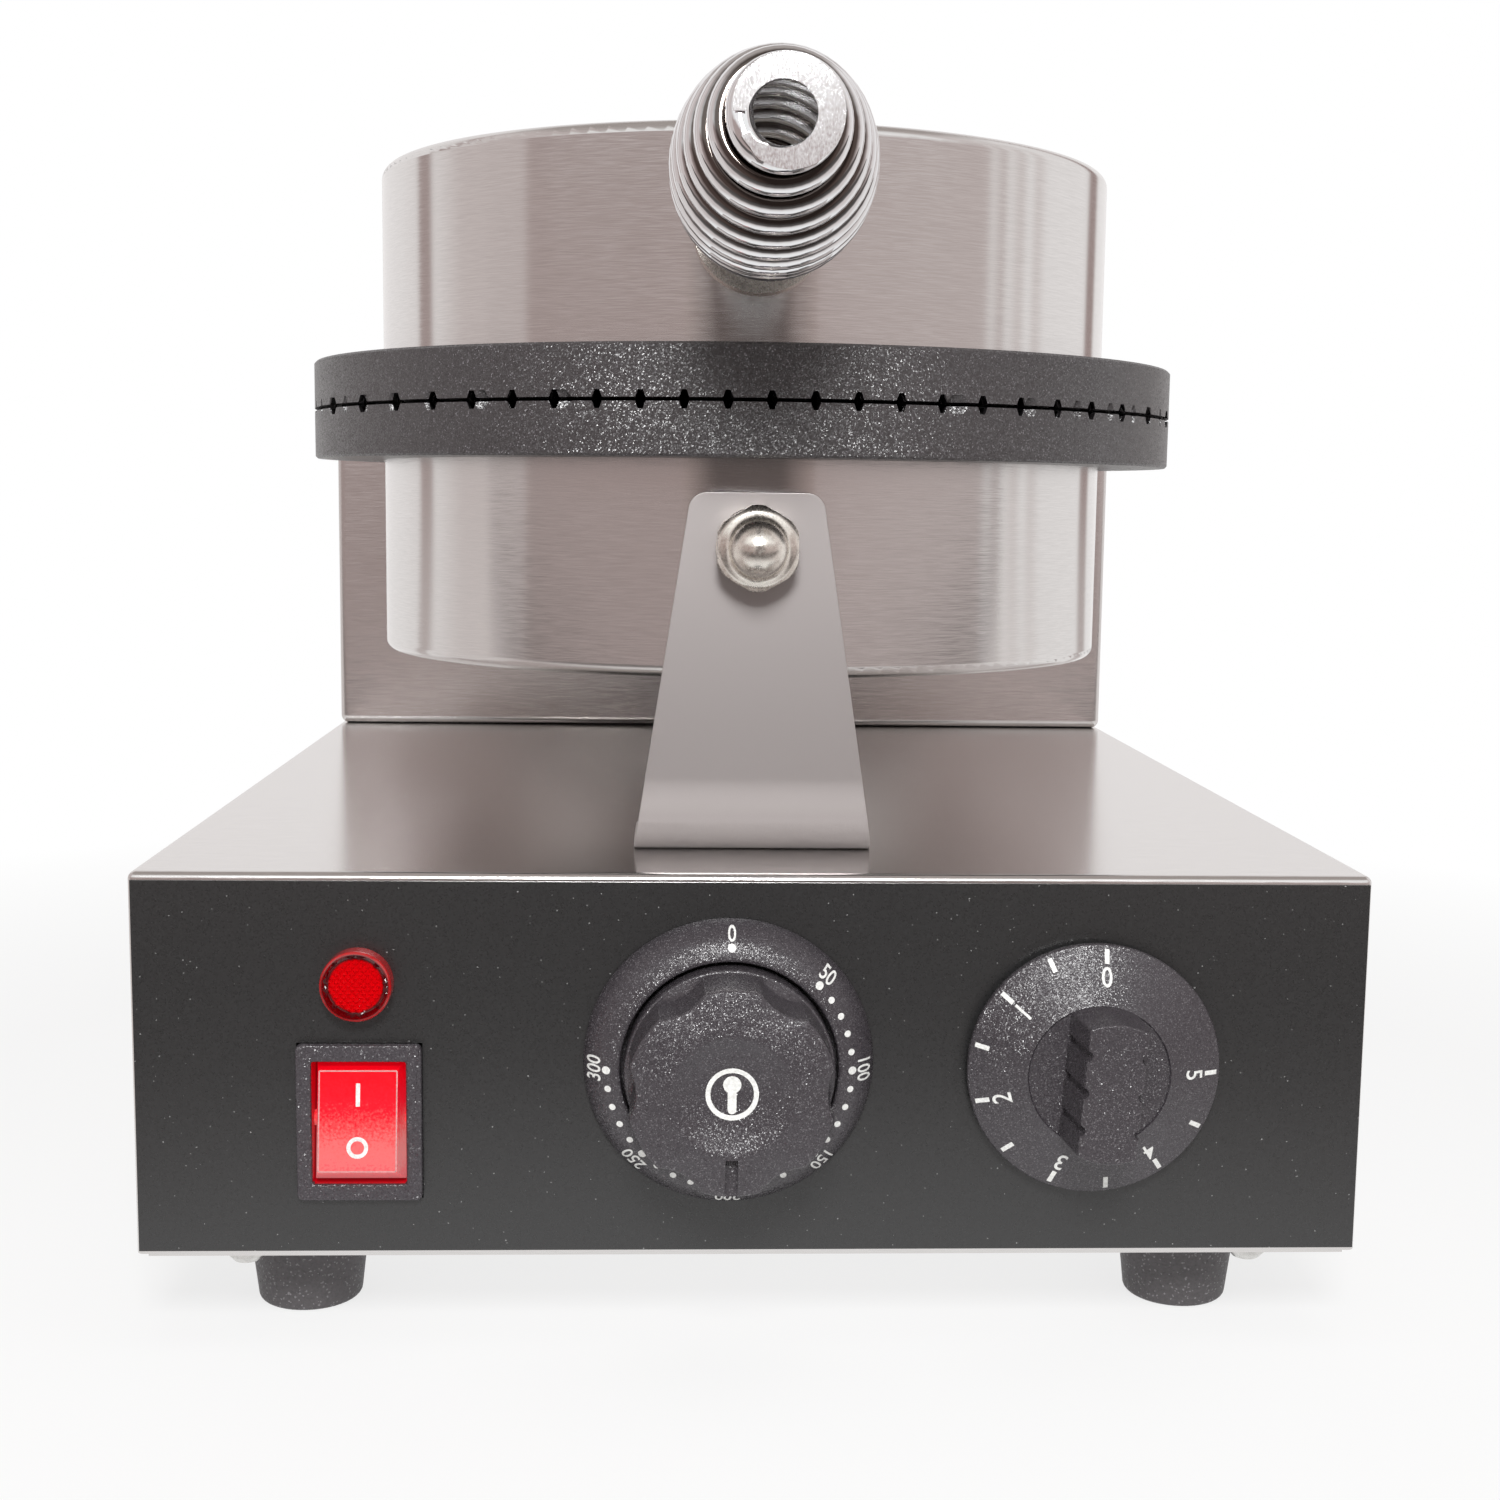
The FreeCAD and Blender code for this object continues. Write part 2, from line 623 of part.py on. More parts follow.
def front_washer():
    disc = rod_y(Y_BRACKET - WASHER_T, Y_BRACKET, 0, Z_BOLT, WASHER_R)
    return disc.cut(rod_y(Y_BRACKET - WASHER_T - OVER, Y_BRACKET + OVER, 0, Z_BOLT, BOLT_R + RUN_FIT))


def front_cap_nut():
    return cap_nut(V(0, Y_BRACKET - WASHER_T, Z_BOLT), FORWARD, BOLT_R)


def rear_upright():
    half = BASE_W / 2 - UPRIGHT_SIDE
    low = V(-half, Y_UPRIGHT, Z_TOP)
    high = V(half, Y_UPRIGHT_REAR, Z_UPRIGHT)
    shell = folded_shell(low, high, UPRIGHT_T, UPRIGHT_BEND_R, FLANGE_W, True)
    t = UPRIGHT_T
    tools = [rod_z(Z_TOP - t, Z_TOP + 2 * t, x, y, M5_R + HOLE_FIT) for x, y in UPRIGHT_SPOTS]
    tools.append(lead_window(Z_TOP - t, Z_TOP + 2 * t))
    tools += [rod_y(Y_UPRIGHT - t, Y_UPRIGHT + 2 * t, x, z, M5_R + HOLE_FIT) for x, z in HINGE_SPOTS]
    tools += [rod_y(Y_UPRIGHT_REAR - 2 * t, Y_UPRIGHT_REAR + t, x, z, SCREW_R + HOLE_FIT)
              for x, z in REAR_SPOTS]
    tools.append(rod_z(Z_UPRIGHT - 2 * t, Z_UPRIGHT + t, 0, Y_UPRIGHT + UPRIGHT_D / 2,
                       BUSH_NECK_R + HOLE_FIT))
    return shell.cut(tools)


def upright_cover():
    half = BASE_W / 2 - UPRIGHT_SIDE
    y0 = Y_UPRIGHT_REAR
    y1 = y0 + UPRIGHT_COVER_T
    plate = box(-half, half, y0, y1, Z_TOP + UPRIGHT_COVER_LIFT, Z_UPRIGHT)
    tools = [rod_y(y0 - OVER, y1 + OVER, x, z, SCREW_R + HOLE_FIT) for x, z in REAR_SPOTS]
    middle = (Z_TOP + Z_UPRIGHT) / 2
    for k in range(UPRIGHT_SLOT_COUNT):
        z = middle + (k - (UPRIGHT_SLOT_COUNT - 1) / 2) * UPRIGHT_SLOT_PITCH
        tools.append(box(-UPRIGHT_SLOT_L / 2, UPRIGHT_SLOT_L / 2, y0 - OVER, y1 + OVER,
                         z - UPRIGHT_SLOT_W / 2, z + UPRIGHT_SLOT_W / 2))
    return plate.cut(tools)


def upright_screws():
    pieces = []
    for x, y in UPRIGHT_SPOTS:
        pieces.append(m5_screw(V(x, y, Z_TOP + UPRIGHT_T), DOWN, UPRIGHT_T + SHEET + M5_NUT_T + SCREW_END))
        pieces.append(nut(V(x, y, Z_TOP - SHEET), DOWN, M5_NUT_FLATS, M5_NUT_T, M5_R))
    return pieces


def upright_cover_screws():
    start = Y_UPRIGHT_REAR + UPRIGHT_COVER_T
    length = UPRIGHT_COVER_T + UPRIGHT_T + SCREW_BITE
    return [m4_screw(V(x, start, z), FORWARD, length) for x, z in REAR_SPOTS]


# Two angle plates whose ears carry the pin; their top edges are the stop of the open lid
def hinge_brackets():
    low = Z_HINGE - HINGE_PLATE_DROP
    high = Z_HINGE + HINGE_PLATE_RISE
    slant = EYE_R * math.sqrt(0.5)
    holes = [rod_x(-EAR_OUT - OVER, EAR_OUT + OVER, Y_HINGE, Z_HINGE, PIN_R + RUN_FIT)]
    holes += [rod_y(Y_HINGE_PLATE - OVER, Y_UPRIGHT + OVER, x, z, M5_R + HOLE_FIT) for x, z in HINGE_SPOTS]
    pieces = []
    for side in SIDES:
        near, far = sorted((side * HINGE_PLATE_IN, side * EAR_OUT))
        back = box(near, far, Y_HINGE_PLATE, Y_UPRIGHT, low, high)
        x0 = min(side * EAR_IN, side * EAR_OUT)
        cheek = polygon([V(x0, Y_UPRIGHT, low), V(x0, Y_UPRIGHT, high), V(x0, Y_HINGE, Z_HINGE + EYE_R),
                         V(x0, Y_HINGE - slant, Z_HINGE - slant)]).extrude(V(HINGE_PLATE_T, 0, 0))
        eye = rod_x(x0, x0 + HINGE_PLATE_T, Y_HINGE, Z_HINGE, EYE_R)
        pieces.append(back.multiFuse([cheek, eye]).removeSplitter().cut(holes))
    return pieces


def hinge_bracket_screws():
    pieces = []
    for x, z in HINGE_SPOTS:
        length = HINGE_PLATE_T + UPRIGHT_T + M5_NUT_T + SCREW_END
        pieces.append(m5_screw(V(x, Y_HINGE_PLATE, z), BACKWARD, length))
        pieces.append(nut(V(x, Y_UPRIGHT + UPRIGHT_T, z), BACKWARD, M5_NUT_FLATS, M5_NUT_T, M5_R))
    return pieces


def hinge_pin():
    end = EAR_OUT + WASHER_T + CAP_BITE
    return rod_x(-end, end, Y_HINGE, Z_HINGE, PIN_R)


def hinge_washers():
    pieces = []
    for side in SIDES:
        x0 = min(side * EAR_OUT, side * (EAR_OUT + WASHER_T))
        disc = rod_x(x0, x0 + WASHER_T, Y_HINGE, Z_HINGE, EYE_R)
        pieces.append(disc.cut(rod_x(x0 - OVER, x0 + WASHER_T + OVER, Y_HINGE, Z_HINGE, PIN_R + RUN_FIT)))
    return pieces


def hinge_cap_nuts():
    start = EAR_OUT + WASHER_T
    return [cap_nut(V(side * start, Y_HINGE, Z_HINGE), V(side, 0, 0), PIN_R) for side in SIDES]


# A spun can: closed end with a rounded edge, open rim on the back of the plate
def can(head):
    r = CAN_R
    e = CAN_EDGE_R
    t = CAN_T
    slant = math.sqrt(0.5)
    outer = Part.Arc(V(r - e, 0, 0), V(r - e + e * slant, 0, e - e * slant), V(r, 0, e))
    inner = Part.Arc(V(r - t, 0, e), V(r - e + (e - t) * slant, 0, e - (e - t) * slant), V(r - e, 0, t))
    edges = [Part.makeLine(V(0, 0, 0), V(r - e, 0, 0)), outer.toShape(),
             Part.makeLine(V(r, 0, e), V(r, 0, CAN_H)), Part.makeLine(V(r, 0, CAN_H), V(r - t, 0, CAN_H)),
             Part.makeLine(V(r - t, 0, CAN_H), V(r - t, 0, e)), inner.toShape(),
             Part.makeLine(V(r - e, 0, t), V(0, 0, t)), Part.makeLine(V(0, 0, t), V(0, 0, 0))]
    shell = Part.Face(Part.Wire(edges)).revolve(V(0, 0, 0), UP, 360)
    shell = placed(shell, V(0, 0, head["end"]), V(0, 0, -head["out"]))
    end = head["end"]
    inside = end - head["out"] * 2 * t
    outside = end + head["out"] * t
    return shell.cut([rod_z(inside, outside, x, y, M5_R + HOLE_FIT) for x, y in PILLAR_SPOTS])


def lower_can():
    tools = [rod_z(Z_CAN_LOW - OVER, Z_CAN_LOW + 2 * CAN_T, 0, 0, NIPPLE_R + HOLE_FIT)]
    tools.append(rod_y(-CAN_R - OVER, -CAN_R + 3 * CAN_T, 0, Z_BOLT, BOLT_R + HOLE_FIT))
    return can(LOWER).cut(tools)


def upper_can():
    tools = [handle_piece(Part.makeCylinder(STUD_R + HOLE_FIT, 4 * CAN_T, V(0, 0, -3 * CAN_T)))]
    tools.append(rod_y(CAN_R - 3 * CAN_T, CAN_R + OVER, 0, Z_UP_BACK + CAN_H / 2, BUSH_NECK_R + HOLE_FIT))
    return can(UPPER).cut(tools)


# One groove of the waffle grid, running along X or along Y
def groove(head, at, along_x):
    half = GROOVE_TOP_W / 2
    floor = GROOVE_FLOOR_W / 2
    lip = half + (half - floor) * GROOVE_OVER / GROOVE_DEPTH
    face = head["face"]
    high = face - head["out"] * GROOVE_OVER
    deep = face + head["out"] * GROOVE_DEPTH
    reach = PLATE_R + OVER
    section = [(at - lip, high), (at + lip, high), (at + floor, deep), (at - floor, deep)]
    if along_x:
        return polygon([V(-reach, u, z) for u, z in section]).extrude(V(2 * reach, 0, 0))
    return polygon([V(u, -reach, z) for u, z in section]).extrude(V(0, 2 * reach, 0))


# A cast arm from the back of the plate to the hinge pin, ending in a round eye
def lug(head, x0, x1):
    out = head["out"]
    back = abs(head["back"] - Z_HINGE)
    face = PLATE_GAP / 2
    under = face + GROOVE_DEPTH + LUG_UNDER
    distance = math.hypot(HINGE_REACH, back)
    tangent = math.atan2(back, -HINGE_REACH) - math.acos(EYE_R / distance)
    outline = [(-HINGE_REACH - LUG_ROOT, under), (-HINGE_REACH, under), (-EYE_R + LUG_BLEND, face),
               (EYE_R * math.cos(tangent), EYE_R * math.sin(tangent)), (-HINGE_REACH, back),
               (-HINGE_REACH - LUG_ROOT, back)]
    arm = polygon([V(x0, Y_HINGE + y, Z_HINGE + out * z) for y, z in outline]).extrude(V(x1 - x0, 0, 0))
    return [arm, rod_x(x0, x1, Y_HINGE, Z_HINGE, EYE_R)]


# A baking plate: grid on its face, seats for can, heater and sensor on its back, lugs at the rear
def plate(head):
    out = head["out"]
    back = head["back"]
    disc = turned([(0, 0), (PLATE_R, 0), (PLATE_R, PLATE_T - PLATE_EDGE), (PLATE_R - PLATE_EDGE, PLATE_T),
                   (0, PLATE_T)], V(0, 0, head["face"]), V(0, 0, out))
    count = int(PLATE_R / GRID_PITCH)
    grooves = [groove(head, k * GRID_PITCH, True) for k in range(-count, count + 1)]
    grooves += [groove(head, (k + 0.5) * GRID_PITCH + GRID_SHIFT, False) for k in range(-count, count + 1)]
    disc = disc.cut(grooves)
    spigot_r = CAN_R - CAN_T - BODY_GAP
    root = back - out * OVER
    spigot = rod_z(root, back + out * SPIGOT_H, 0, 0, spigot_r)
    spigot = spigot.cut(rod_z(root - out, back + out * (SPIGOT_H + OVER), 0, 0, spigot_r - SPIGOT_T))
    added = [spigot]
    added += [rod_z(root, back + out * (HEATER_R + SEAT_GAP), x, y, CLAMP_BOSS_R) for x, y in CLAMP_SPOTS]
    inner, outer = head["lugs"]
    for x0, x1 in ((inner, outer), (-outer, -inner)):
        added += lug(head, x0, x1)
    body = disc.multiFuse(added).removeSplitter()
    tools = [Part.makeTorus(HEATER_RING_R, HEATER_R + HOLE_FIT, V(0, 0, back), UP)]
    tools.append(rod_x(-outer - OVER, outer + OVER, Y_HINGE, Z_HINGE, PIN_R + RUN_FIT))
    tools += [rod_z(back + out * (HEATER_R + OVER), back - out * CLAMP_HOLE, x, y, SCREW_R + RUN_FIT)
              for x, y in CLAMP_SPOTS]
    if out < 0:
        tools.append(rod_x(-BULB_L / 2 - BODY_GAP, BULB_L / 2 + BODY_GAP, BULB_Y, back, BULB_R + HOLE_FIT))
    return body.cut(tools)


# A tubular element, bent to an open ring with its two ends turned up
def heater(head):
    out = head["out"]
    back = head["back"]
    sweep = 360 - HEATER_OPEN_ANGLE
    ring = Part.makeTorus(HEATER_RING_R, HEATER_R, V(0, 0, back), UP, -180, 180, sweep)
    ring.rotate(V(0, 0, 0), UP, 90 + HEATER_OPEN_ANGLE / 2)
    pieces = []
    for side in SIDES:
        a = math.radians(90 + side * HEATER_OPEN_ANGLE / 2)
        x = HEATER_RING_R * math.cos(a)
        y = HEATER_RING_R * math.sin(a)
        pieces.append(Part.makeSphere(HEATER_R, V(x, y, back)))
        pieces.append(rod_z(back, back + out * HEATER_LEG, x, y, HEATER_R))
    return ring.multiFuse(pieces)


def heater_clamp(head):
    out = head["out"]
    z0 = head["back"] + out * (HEATER_R + SEAT_GAP)
    z1 = z0 + out * CLAMP_T
    disc = rod_z(z0, z1, 0, 0, CLAMP_R)
    reach = HEATER_RING_R * math.sin(math.radians(HEATER_OPEN_ANGLE / 2)) + HEATER_R + CLAMP_NOTCH_SIDE
    low = min(z0, z1) - OVER
    tools = [box(-reach, reach, CLAMP_NOTCH_Y, CLAMP_R + OVER, low, low + CLAMP_T + 2 * OVER)]
    tools += [rod_z(z0 - out, z1 + out, x, y, SCREW_R + HOLE_FIT) for x, y in CLAMP_SPOTS]
    return disc.cut(tools)


def clamp_screws(head):
    out = head["out"]
    z = head["back"] + out * (HEATER_R + SEAT_GAP + CLAMP_T)
    return [m4_screw(V(x, y, z), V(0, 0, -out), CLAMP_T + HEATER_R + CLAMP_BITE) for x, y in CLAMP_SPOTS]


def pillars(head):
    inside = head["end"] - head["out"] * CAN_T
    pieces = []
    for x, y in PILLAR_SPOTS:
        post = rod_z(head["back"], inside, x, y, PILLAR_R)
        pieces.append(post.cut(rod_z(inside, inside - head["out"] * PILLAR_HOLE, x, y, M5_R + RUN_FIT)))
    return pieces


def can_screws(head):
    inward = V(0, 0, -head["out"])
    return [m5_screw(V(x, y, head["end"]), inward, CAN_T + PILLAR_BITE) for x, y in PILLAR_SPOTS]


def sensor_bulb():
    return rod_x(-BULB_L / 2, BULB_L / 2, BULB_Y, Z_LOW_BACK, BULB_R)


def lead_nipple():
    z0 = Z_TOP - SHEET - NIPPLE_END
    z1 = Z_CAN_LOW + CAN_T + NIPPLE_END
    return rod_z(z0, z1, 0, 0, NIPPLE_R).cut(rod_z(z0 - OVER, z1 + OVER, 0, 0, NIPPLE_BORE_R))


def nipple_nuts():
    seats = ((Z_TOP - SHEET, DOWN), (Z_TOP, UP), (Z_CAN_LOW, DOWN), (Z_CAN_LOW + CAN_T, UP))
    return [nut(V(0, 0, z), way, NIPPLE_NUT_FLATS, NIPPLE_NUT_T, NIPPLE_R) for z, way in seats]


# A grommet for the leads: a flange outside, a neck through the wall
def lead_bush(point, direction):
    profile = [(BUSH_BORE_R, -BUSH_IN), (BUSH_NECK_R, -BUSH_IN), (BUSH_NECK_R, 0), (BUSH_FLANGE_R, 0),
               (BUSH_FLANGE_R, BUSH_FLANGE_T), (BUSH_NECK_R, BUSH_OUT), (BUSH_BORE_R, BUSH_OUT)]
    return turned(profile, point, direction)


def upright_lead_bush():
    return lead_bush(V(0, Y_UPRIGHT + UPRIGHT_D / 2, Z_UPRIGHT), UP)


def upper_lead_bush():
    bush = lead_bush(V(0, CAN_R, Z_UP_BACK + CAN_H / 2), BACKWARD)
    ring = rod_z(Z_UP_BACK, Z_CAN_TOP, 0, 0, CAN_R + SEAT_GAP)
    inner = rod_y(CAN_R - BUSH_IN - OVER, CAN_R + OVER, 0, Z_UP_BACK + CAN_H / 2, BUSH_NECK_R)
    return bush.cut(ring.cut(inner))


# The front of the rocker stands on a shaft that turns in the housing of the switch
def switch_housing():
    x = SWITCH_AT.x
    z = SWITCH_AT.z
    front = Y_PANEL - BEZEL_T
    bezel = box(x - BEZEL_W / 2, x + BEZEL_W / 2, front, Y_PANEL, z - BEZEL_H / 2, z + BEZEL_H / 2)
    rim = [e for e in bezel.Edges if e.BoundBox.YMax < Y_PANEL - BEZEL_T / 2]
    bezel = bezel.makeFillet(BEZEL_EDGE_R, rim)
    body_w = BEZEL_W / 2 - BEZEL_LIP
    body_h = BEZEL_H / 2 - BEZEL_LIP
    body = box(x - body_w, x + body_w, Y_PANEL, Y_PANEL + SWITCH_DEPTH, z - body_h, z + body_h)
    open_w = ROCKER_OPEN_W / 2
    open_h = ROCKER_OPEN_H / 2
    floor = Y_PANEL + ROCKER_PIVOT_IN + ROCKER_ROOM
    recess = box(x - open_w, x + open_w, front - OVER, floor, z - open_h, z + open_h)
    half = open_w + TRUNNION_L + HOLE_FIT
    pivot = rod_x(x - half, x + half, Y_PANEL + ROCKER_PIVOT_IN, z, TRUNNION_R + RUN_FIT)
    return bezel.fuse(body).removeSplitter().cut([recess, pivot])


def switch_rocker():
    x = SWITCH_AT.x
    z = SWITCH_AT.z
    pivot = Y_PANEL + ROCKER_PIVOT_IN
    front = Y_PANEL - BEZEL_T - ROCKER_OUT
    wires = []
    base_w = ROCKER_OPEN_W - 2 * BODY_GAP
    base_h = ROCKER_OPEN_H - 2 * BODY_GAP
    for y, w, h in ((pivot, base_w, base_h), (front, ROCKER_FACE_W, ROCKER_FACE_H)):
        points = [V(x - w / 2, y, z - h / 2), V(x + w / 2, y, z - h / 2),
                  V(x + w / 2, y, z + h / 2), V(x - w / 2, y, z + h / 2)]
        wires.append(Part.makePolygon(points + [points[0]]))
    key = Part.makeLoft(wires, True, True)
    key = key.common(rod_x(x - base_w, x + base_w, pivot, z, base_h / 2))
    half = ROCKER_OPEN_W / 2 + TRUNNION_L
    key = key.fuse(rod_x(x - half, x + half, pivot, z, TRUNNION_R)).removeSplitter()
    key.rotate(V(x, pivot, z), V(1, 0, 0), -ROCKER_TILT)
    return key


def lamp_holder():
    rim = LAMP_R - LAMP_FLANGE_IN
    profile = [(0, -LAMP_DEPTH), (LAMP_NECK_R, -LAMP_DEPTH), (LAMP_NECK_R, 0), (rim, 0), (rim, LAMP_FLANGE_T),
               (LAMP_BORE_R, LAMP_FLANGE_T), (LAMP_BORE_R, -LAMP_BORE), (0, -LAMP_BORE)]
    return turned(profile, LAMP_AT, FORWARD)


def lamp_lens():
    inside = LAMP_OUT - LAMP_FACE_T
    profile = [(0, inside), (LAMP_HOLLOW_R, inside), (LAMP_HOLLOW_R, LAMP_FLANGE_T), (LAMP_R, LAMP_FLANGE_T),
               (LAMP_R, LAMP_OUT - LAMP_BEVEL), (LAMP_R - LAMP_BEVEL, LAMP_OUT), (0, LAMP_OUT)]
    return turned(profile, LAMP_AT, FORWARD)


# The fixed scale ring round the thermostat knob
def thermostat_dial():
    hole = SHAFT_R + SHAFT_ROOM
    profile = [(hole, 0), (DIAL_R, 0), (DIAL_R, DIAL_WALL), (DIAL_BEND_R, DIAL_BEND_H),
               (DIAL_BORE_R + DIAL_RIM, DIAL_T), (DIAL_BORE_R, DIAL_T - DIAL_RIM), (DIAL_BORE_R, DIAL_FLOOR),
               (hole, DIAL_FLOOR)]
    ring = turned(profile, THERMO_AT, FORWARD)
    holes = [rod_y(Y_PANEL - 2 * DIAL_FLOOR, Y_PANEL + OVER, THERMO_X + side * UNIT_SCREW_X, THERMO_AT.z,
                   SCREW_R + HOLE_FIT) for side in SIDES]
    return ring.cut(holes)


# The round knob: skirt, finger flutes, dished face and a pointer groove that points down
def thermostat_knob():
    skirt = KNOB_BACK + KNOB_SKIRT_H
    profile = [(0, KNOB_BACK), (KNOB_SKIRT_R, KNOB_BACK), (KNOB_SKIRT_R, skirt),
               (KNOB_R + KNOB_TAPER, skirt), (KNOB_R, KNOB_OUT - KNOB_EDGE), (KNOB_R - KNOB_EDGE, KNOB_OUT),
               (0, KNOB_OUT)]
    body = turned(profile, THERMO_AT, FORWARD)
    ball_r = (DISH_R * DISH_R + DISH_DEPTH * DISH_DEPTH) / (2 * DISH_DEPTH)
    front = Y_PANEL - KNOB_OUT
    tools = [Part.makeSphere(ball_r, V(THERMO_X, front + DISH_DEPTH - ball_r, THERMO_AT.z))]
    ring = KNOB_R + FLUTE_R - FLUTE_DEPTH
    for k in range(FLUTE_COUNT):
        a = math.radians(-90 + (k + 0.5) * 360 / FLUTE_COUNT)
        x = THERMO_X + ring * math.cos(a)
        z = THERMO_AT.z + ring * math.sin(a)
        tools.append(rod_y(front - OVER, Y_PANEL - skirt, x, z, FLUTE_R))
    tools.append(box(THERMO_X - POINTER_W / 2, THERMO_X + POINTER_W / 2, front - OVER, front + POINTER_DEPTH,
                     THERMO_AT.z - KNOB_R - OVER, THERMO_AT.z - DISH_R + POINTER_RUN))
    tools.append(rod_y(front + KNOB_CROWN, Y_PANEL, THERMO_X, THERMO_AT.z, SHAFT_R + RUN_FIT))
    return body.cut(tools)


def thermostat_shaft():
    tip = Y_PANEL - KNOB_OUT + KNOB_CROWN + SHAFT_END
    return rod_y(tip, Y_INSIDE + SHAFT_IN, THERMO_X, THERMO_AT.z, SHAFT_R)


# The timer knob: a numbered disc with a low hub and a grooved bar grip
def timer_knob():
    face = TIMER_BACK + TIMER_DISC_T
    profile = [(0, TIMER_BACK), (TIMER_R, TIMER_BACK), (TIMER_R, face - TIMER_EDGE),
               (TIMER_R - TIMER_EDGE, face), (HUB_R, face), (HUB_R - HUB_H, face + HUB_H), (0, face + HUB_H)]
    disc = turned(profile, TIMER_AT, FORWARD)
    front = Y_PANEL - TIMER_OUT
    x = TIMER_X
    z = TIMER_AT.z
    root = Y_PANEL - face
    bar = Part.makeCone(GRIP_R, GRIP_R - GRIP_TAPER, root - front, V(x, root, z), FORWARD)
    bar = bar.common(box(x - GRIP_W / 2, x + GRIP_W / 2, front - OVER, Y_PANEL, z - GRIP_R, z + GRIP_R))
    bar = bar.makeFillet(GRIP_EDGE_R, [e for e in bar.Edges if e.BoundBox.YMax < front + GRIP_EDGE_R])
    knob = disc.fuse(bar).removeSplitter()
    tools = [rod_y(front + KNOB_CROWN, Y_PANEL, x, z, SHAFT_R + RUN_FIT)]
    groove_x = GRIP_W / 2 + GRIP_GROOVE_OUT
    for side in SIDES:
        for k in (-1, 0, 1):
            tools.append(rod_y(front - OVER, root - GRIP_GROOVE_END, x + side * groove_x,
                               z + k * GRIP_GROOVE_PITCH, GRIP_GROOVE_R))
    return knob.cut(tools).rotated(TIMER_AT, FORWARD, -TIMER_REST_TURN)


def timer_shaft():
    tip = Y_PANEL - TIMER_OUT + KNOB_CROWN + SHAFT_END
    return rod_y(tip, Y_INSIDE + SHAFT_IN, TIMER_X, TIMER_AT.z, SHAFT_R)


# The working part behind the panel: a mounting plate, a case and a bore for the shaft
def control_unit(at, size):
    width, height, depth = size
    plate_w = UNIT_SCREW_X + UNIT_PLATE_END
    plate_h = UNIT_PLATE_H / 2
    start = Y_INSIDE + UNIT_PLATE_T
    mount = box(at.x - plate_w, at.x + plate_w, Y_INSIDE, start, at.z - plate_h, at.z + plate_h)
    case = box(at.x - width / 2, at.x + width / 2, start, start + depth, at.z - height / 2, at.z + height / 2)
    body = mount.fuse(case).removeSplitter()
    tools = [rod_y(Y_INSIDE - OVER, Y_INSIDE + SHAFT_IN + SHAFT_END, at.x, at.z, SHAFT_R + RUN_FIT)]
    tools += [rod_y(Y_INSIDE - OVER, Y_INSIDE + UNIT_HOLE, at.x + side * UNIT_SCREW_X, at.z,
                    SCREW_R + RUN_FIT) for side in SIDES]
    return body.cut(tools)


def thermostat_unit():
    return control_unit(THERMO_AT, THERMO_CASE)


def timer_unit():
    return control_unit(TIMER_AT, TIMER_CASE)


def unit_screws():
    pieces = []
    for x, z in UNIT_SPOTS:
        start = Y_PANEL
        if abs(x - THERMO_X) < DIAL_R:
            start = Y_PANEL - DIAL_FLOOR
        length = Y_INSIDE + UNIT_BITE - start
        pieces.append(screw(V(x, start, Z_HOUSING + z), BACKWARD, UNIT_HEAD_R, UNIT_HEAD_H, SCREW_R, length))
    return pieces


def terminal_block():
    y = Y_REAR - TERMINAL_SETBACK
    y0 = y - TERMINAL_D / 2
    y1 = y + TERMINAL_D / 2
    top = Z_HOUSING + TERMINAL_H
    block = box(TERMINAL_X - TERMINAL_W / 2, TERMINAL_X + TERMINAL_W / 2, y0, y1, Z_HOUSING, top)
    tools = []
    for k in range(TERMINAL_WAYS):
        x = TERMINAL_X + (k - (TERMINAL_WAYS - 1) / 2) * TERMINAL_PITCH
        tools.append(rod_z(Z_HOUSING + TERMINAL_SCREW_Z, top + OVER, x, y, TERMINAL_SCREW_R))
        tools.append(rod_y(y0 - OVER, y1 + OVER, x, Z_HOUSING + TERMINAL_WIRE_Z, TERMINAL_WIRE_R))
    return block.cut(tools)


# The cord entry: a threaded gland with a domed front, held by a nut inside the rear wall
def cord_gland():
    at = V(GLAND_X, Y_REAR, Z_HOUSING + GLAND_Z)
    hexagon = hex_bar(at, BACKWARD, GLAND_FLATS, GLAND_HEX_T)
    dome = turned([(0, 0), (GLAND_DOME_R, 0), (GLAND_DOME_R, GLAND_DOME_T),
                   (GLAND_DOME_R - GLAND_DOME_EDGE, GLAND_OUT), (0, GLAND_OUT)], at, BACKWARD)
    thread = rod_y(Y_REAR - GLAND_IN, Y_REAR + OVER, at.x, at.z, GLAND_THREAD_R)
    body = hexagon.multiFuse([dome, thread]).removeSplitter()
    return body.cut(rod_y(Y_REAR - GLAND_IN - OVER, Y_REAR + GLAND_OUT + OVER, at.x, at.z, GLAND_BORE_R))


def gland_nut():
    at = V(GLAND_X, Y_REAR - SHEET, Z_HOUSING + GLAND_Z)
    return nut(at, FORWARD, GLAND_FLATS, GLAND_NUT_T, GLAND_THREAD_R)


# Handle pieces are made along Z and then laid along the tilted axis of the handle
def handle_piece(shape):
    tilt = math.radians(HANDLE_TILT)
    return placed(shape, V(0, -CAN_R, Z_HANDLE), V(0, -math.cos(tilt), math.sin(tilt)))


def handle_stud():
    length = STUD_INSIDE + COIL_ROOT + STUD_REACH
    return handle_piece(Part.makeCylinder(STUD_R, length, V(0, 0, -STUD_INSIDE)))


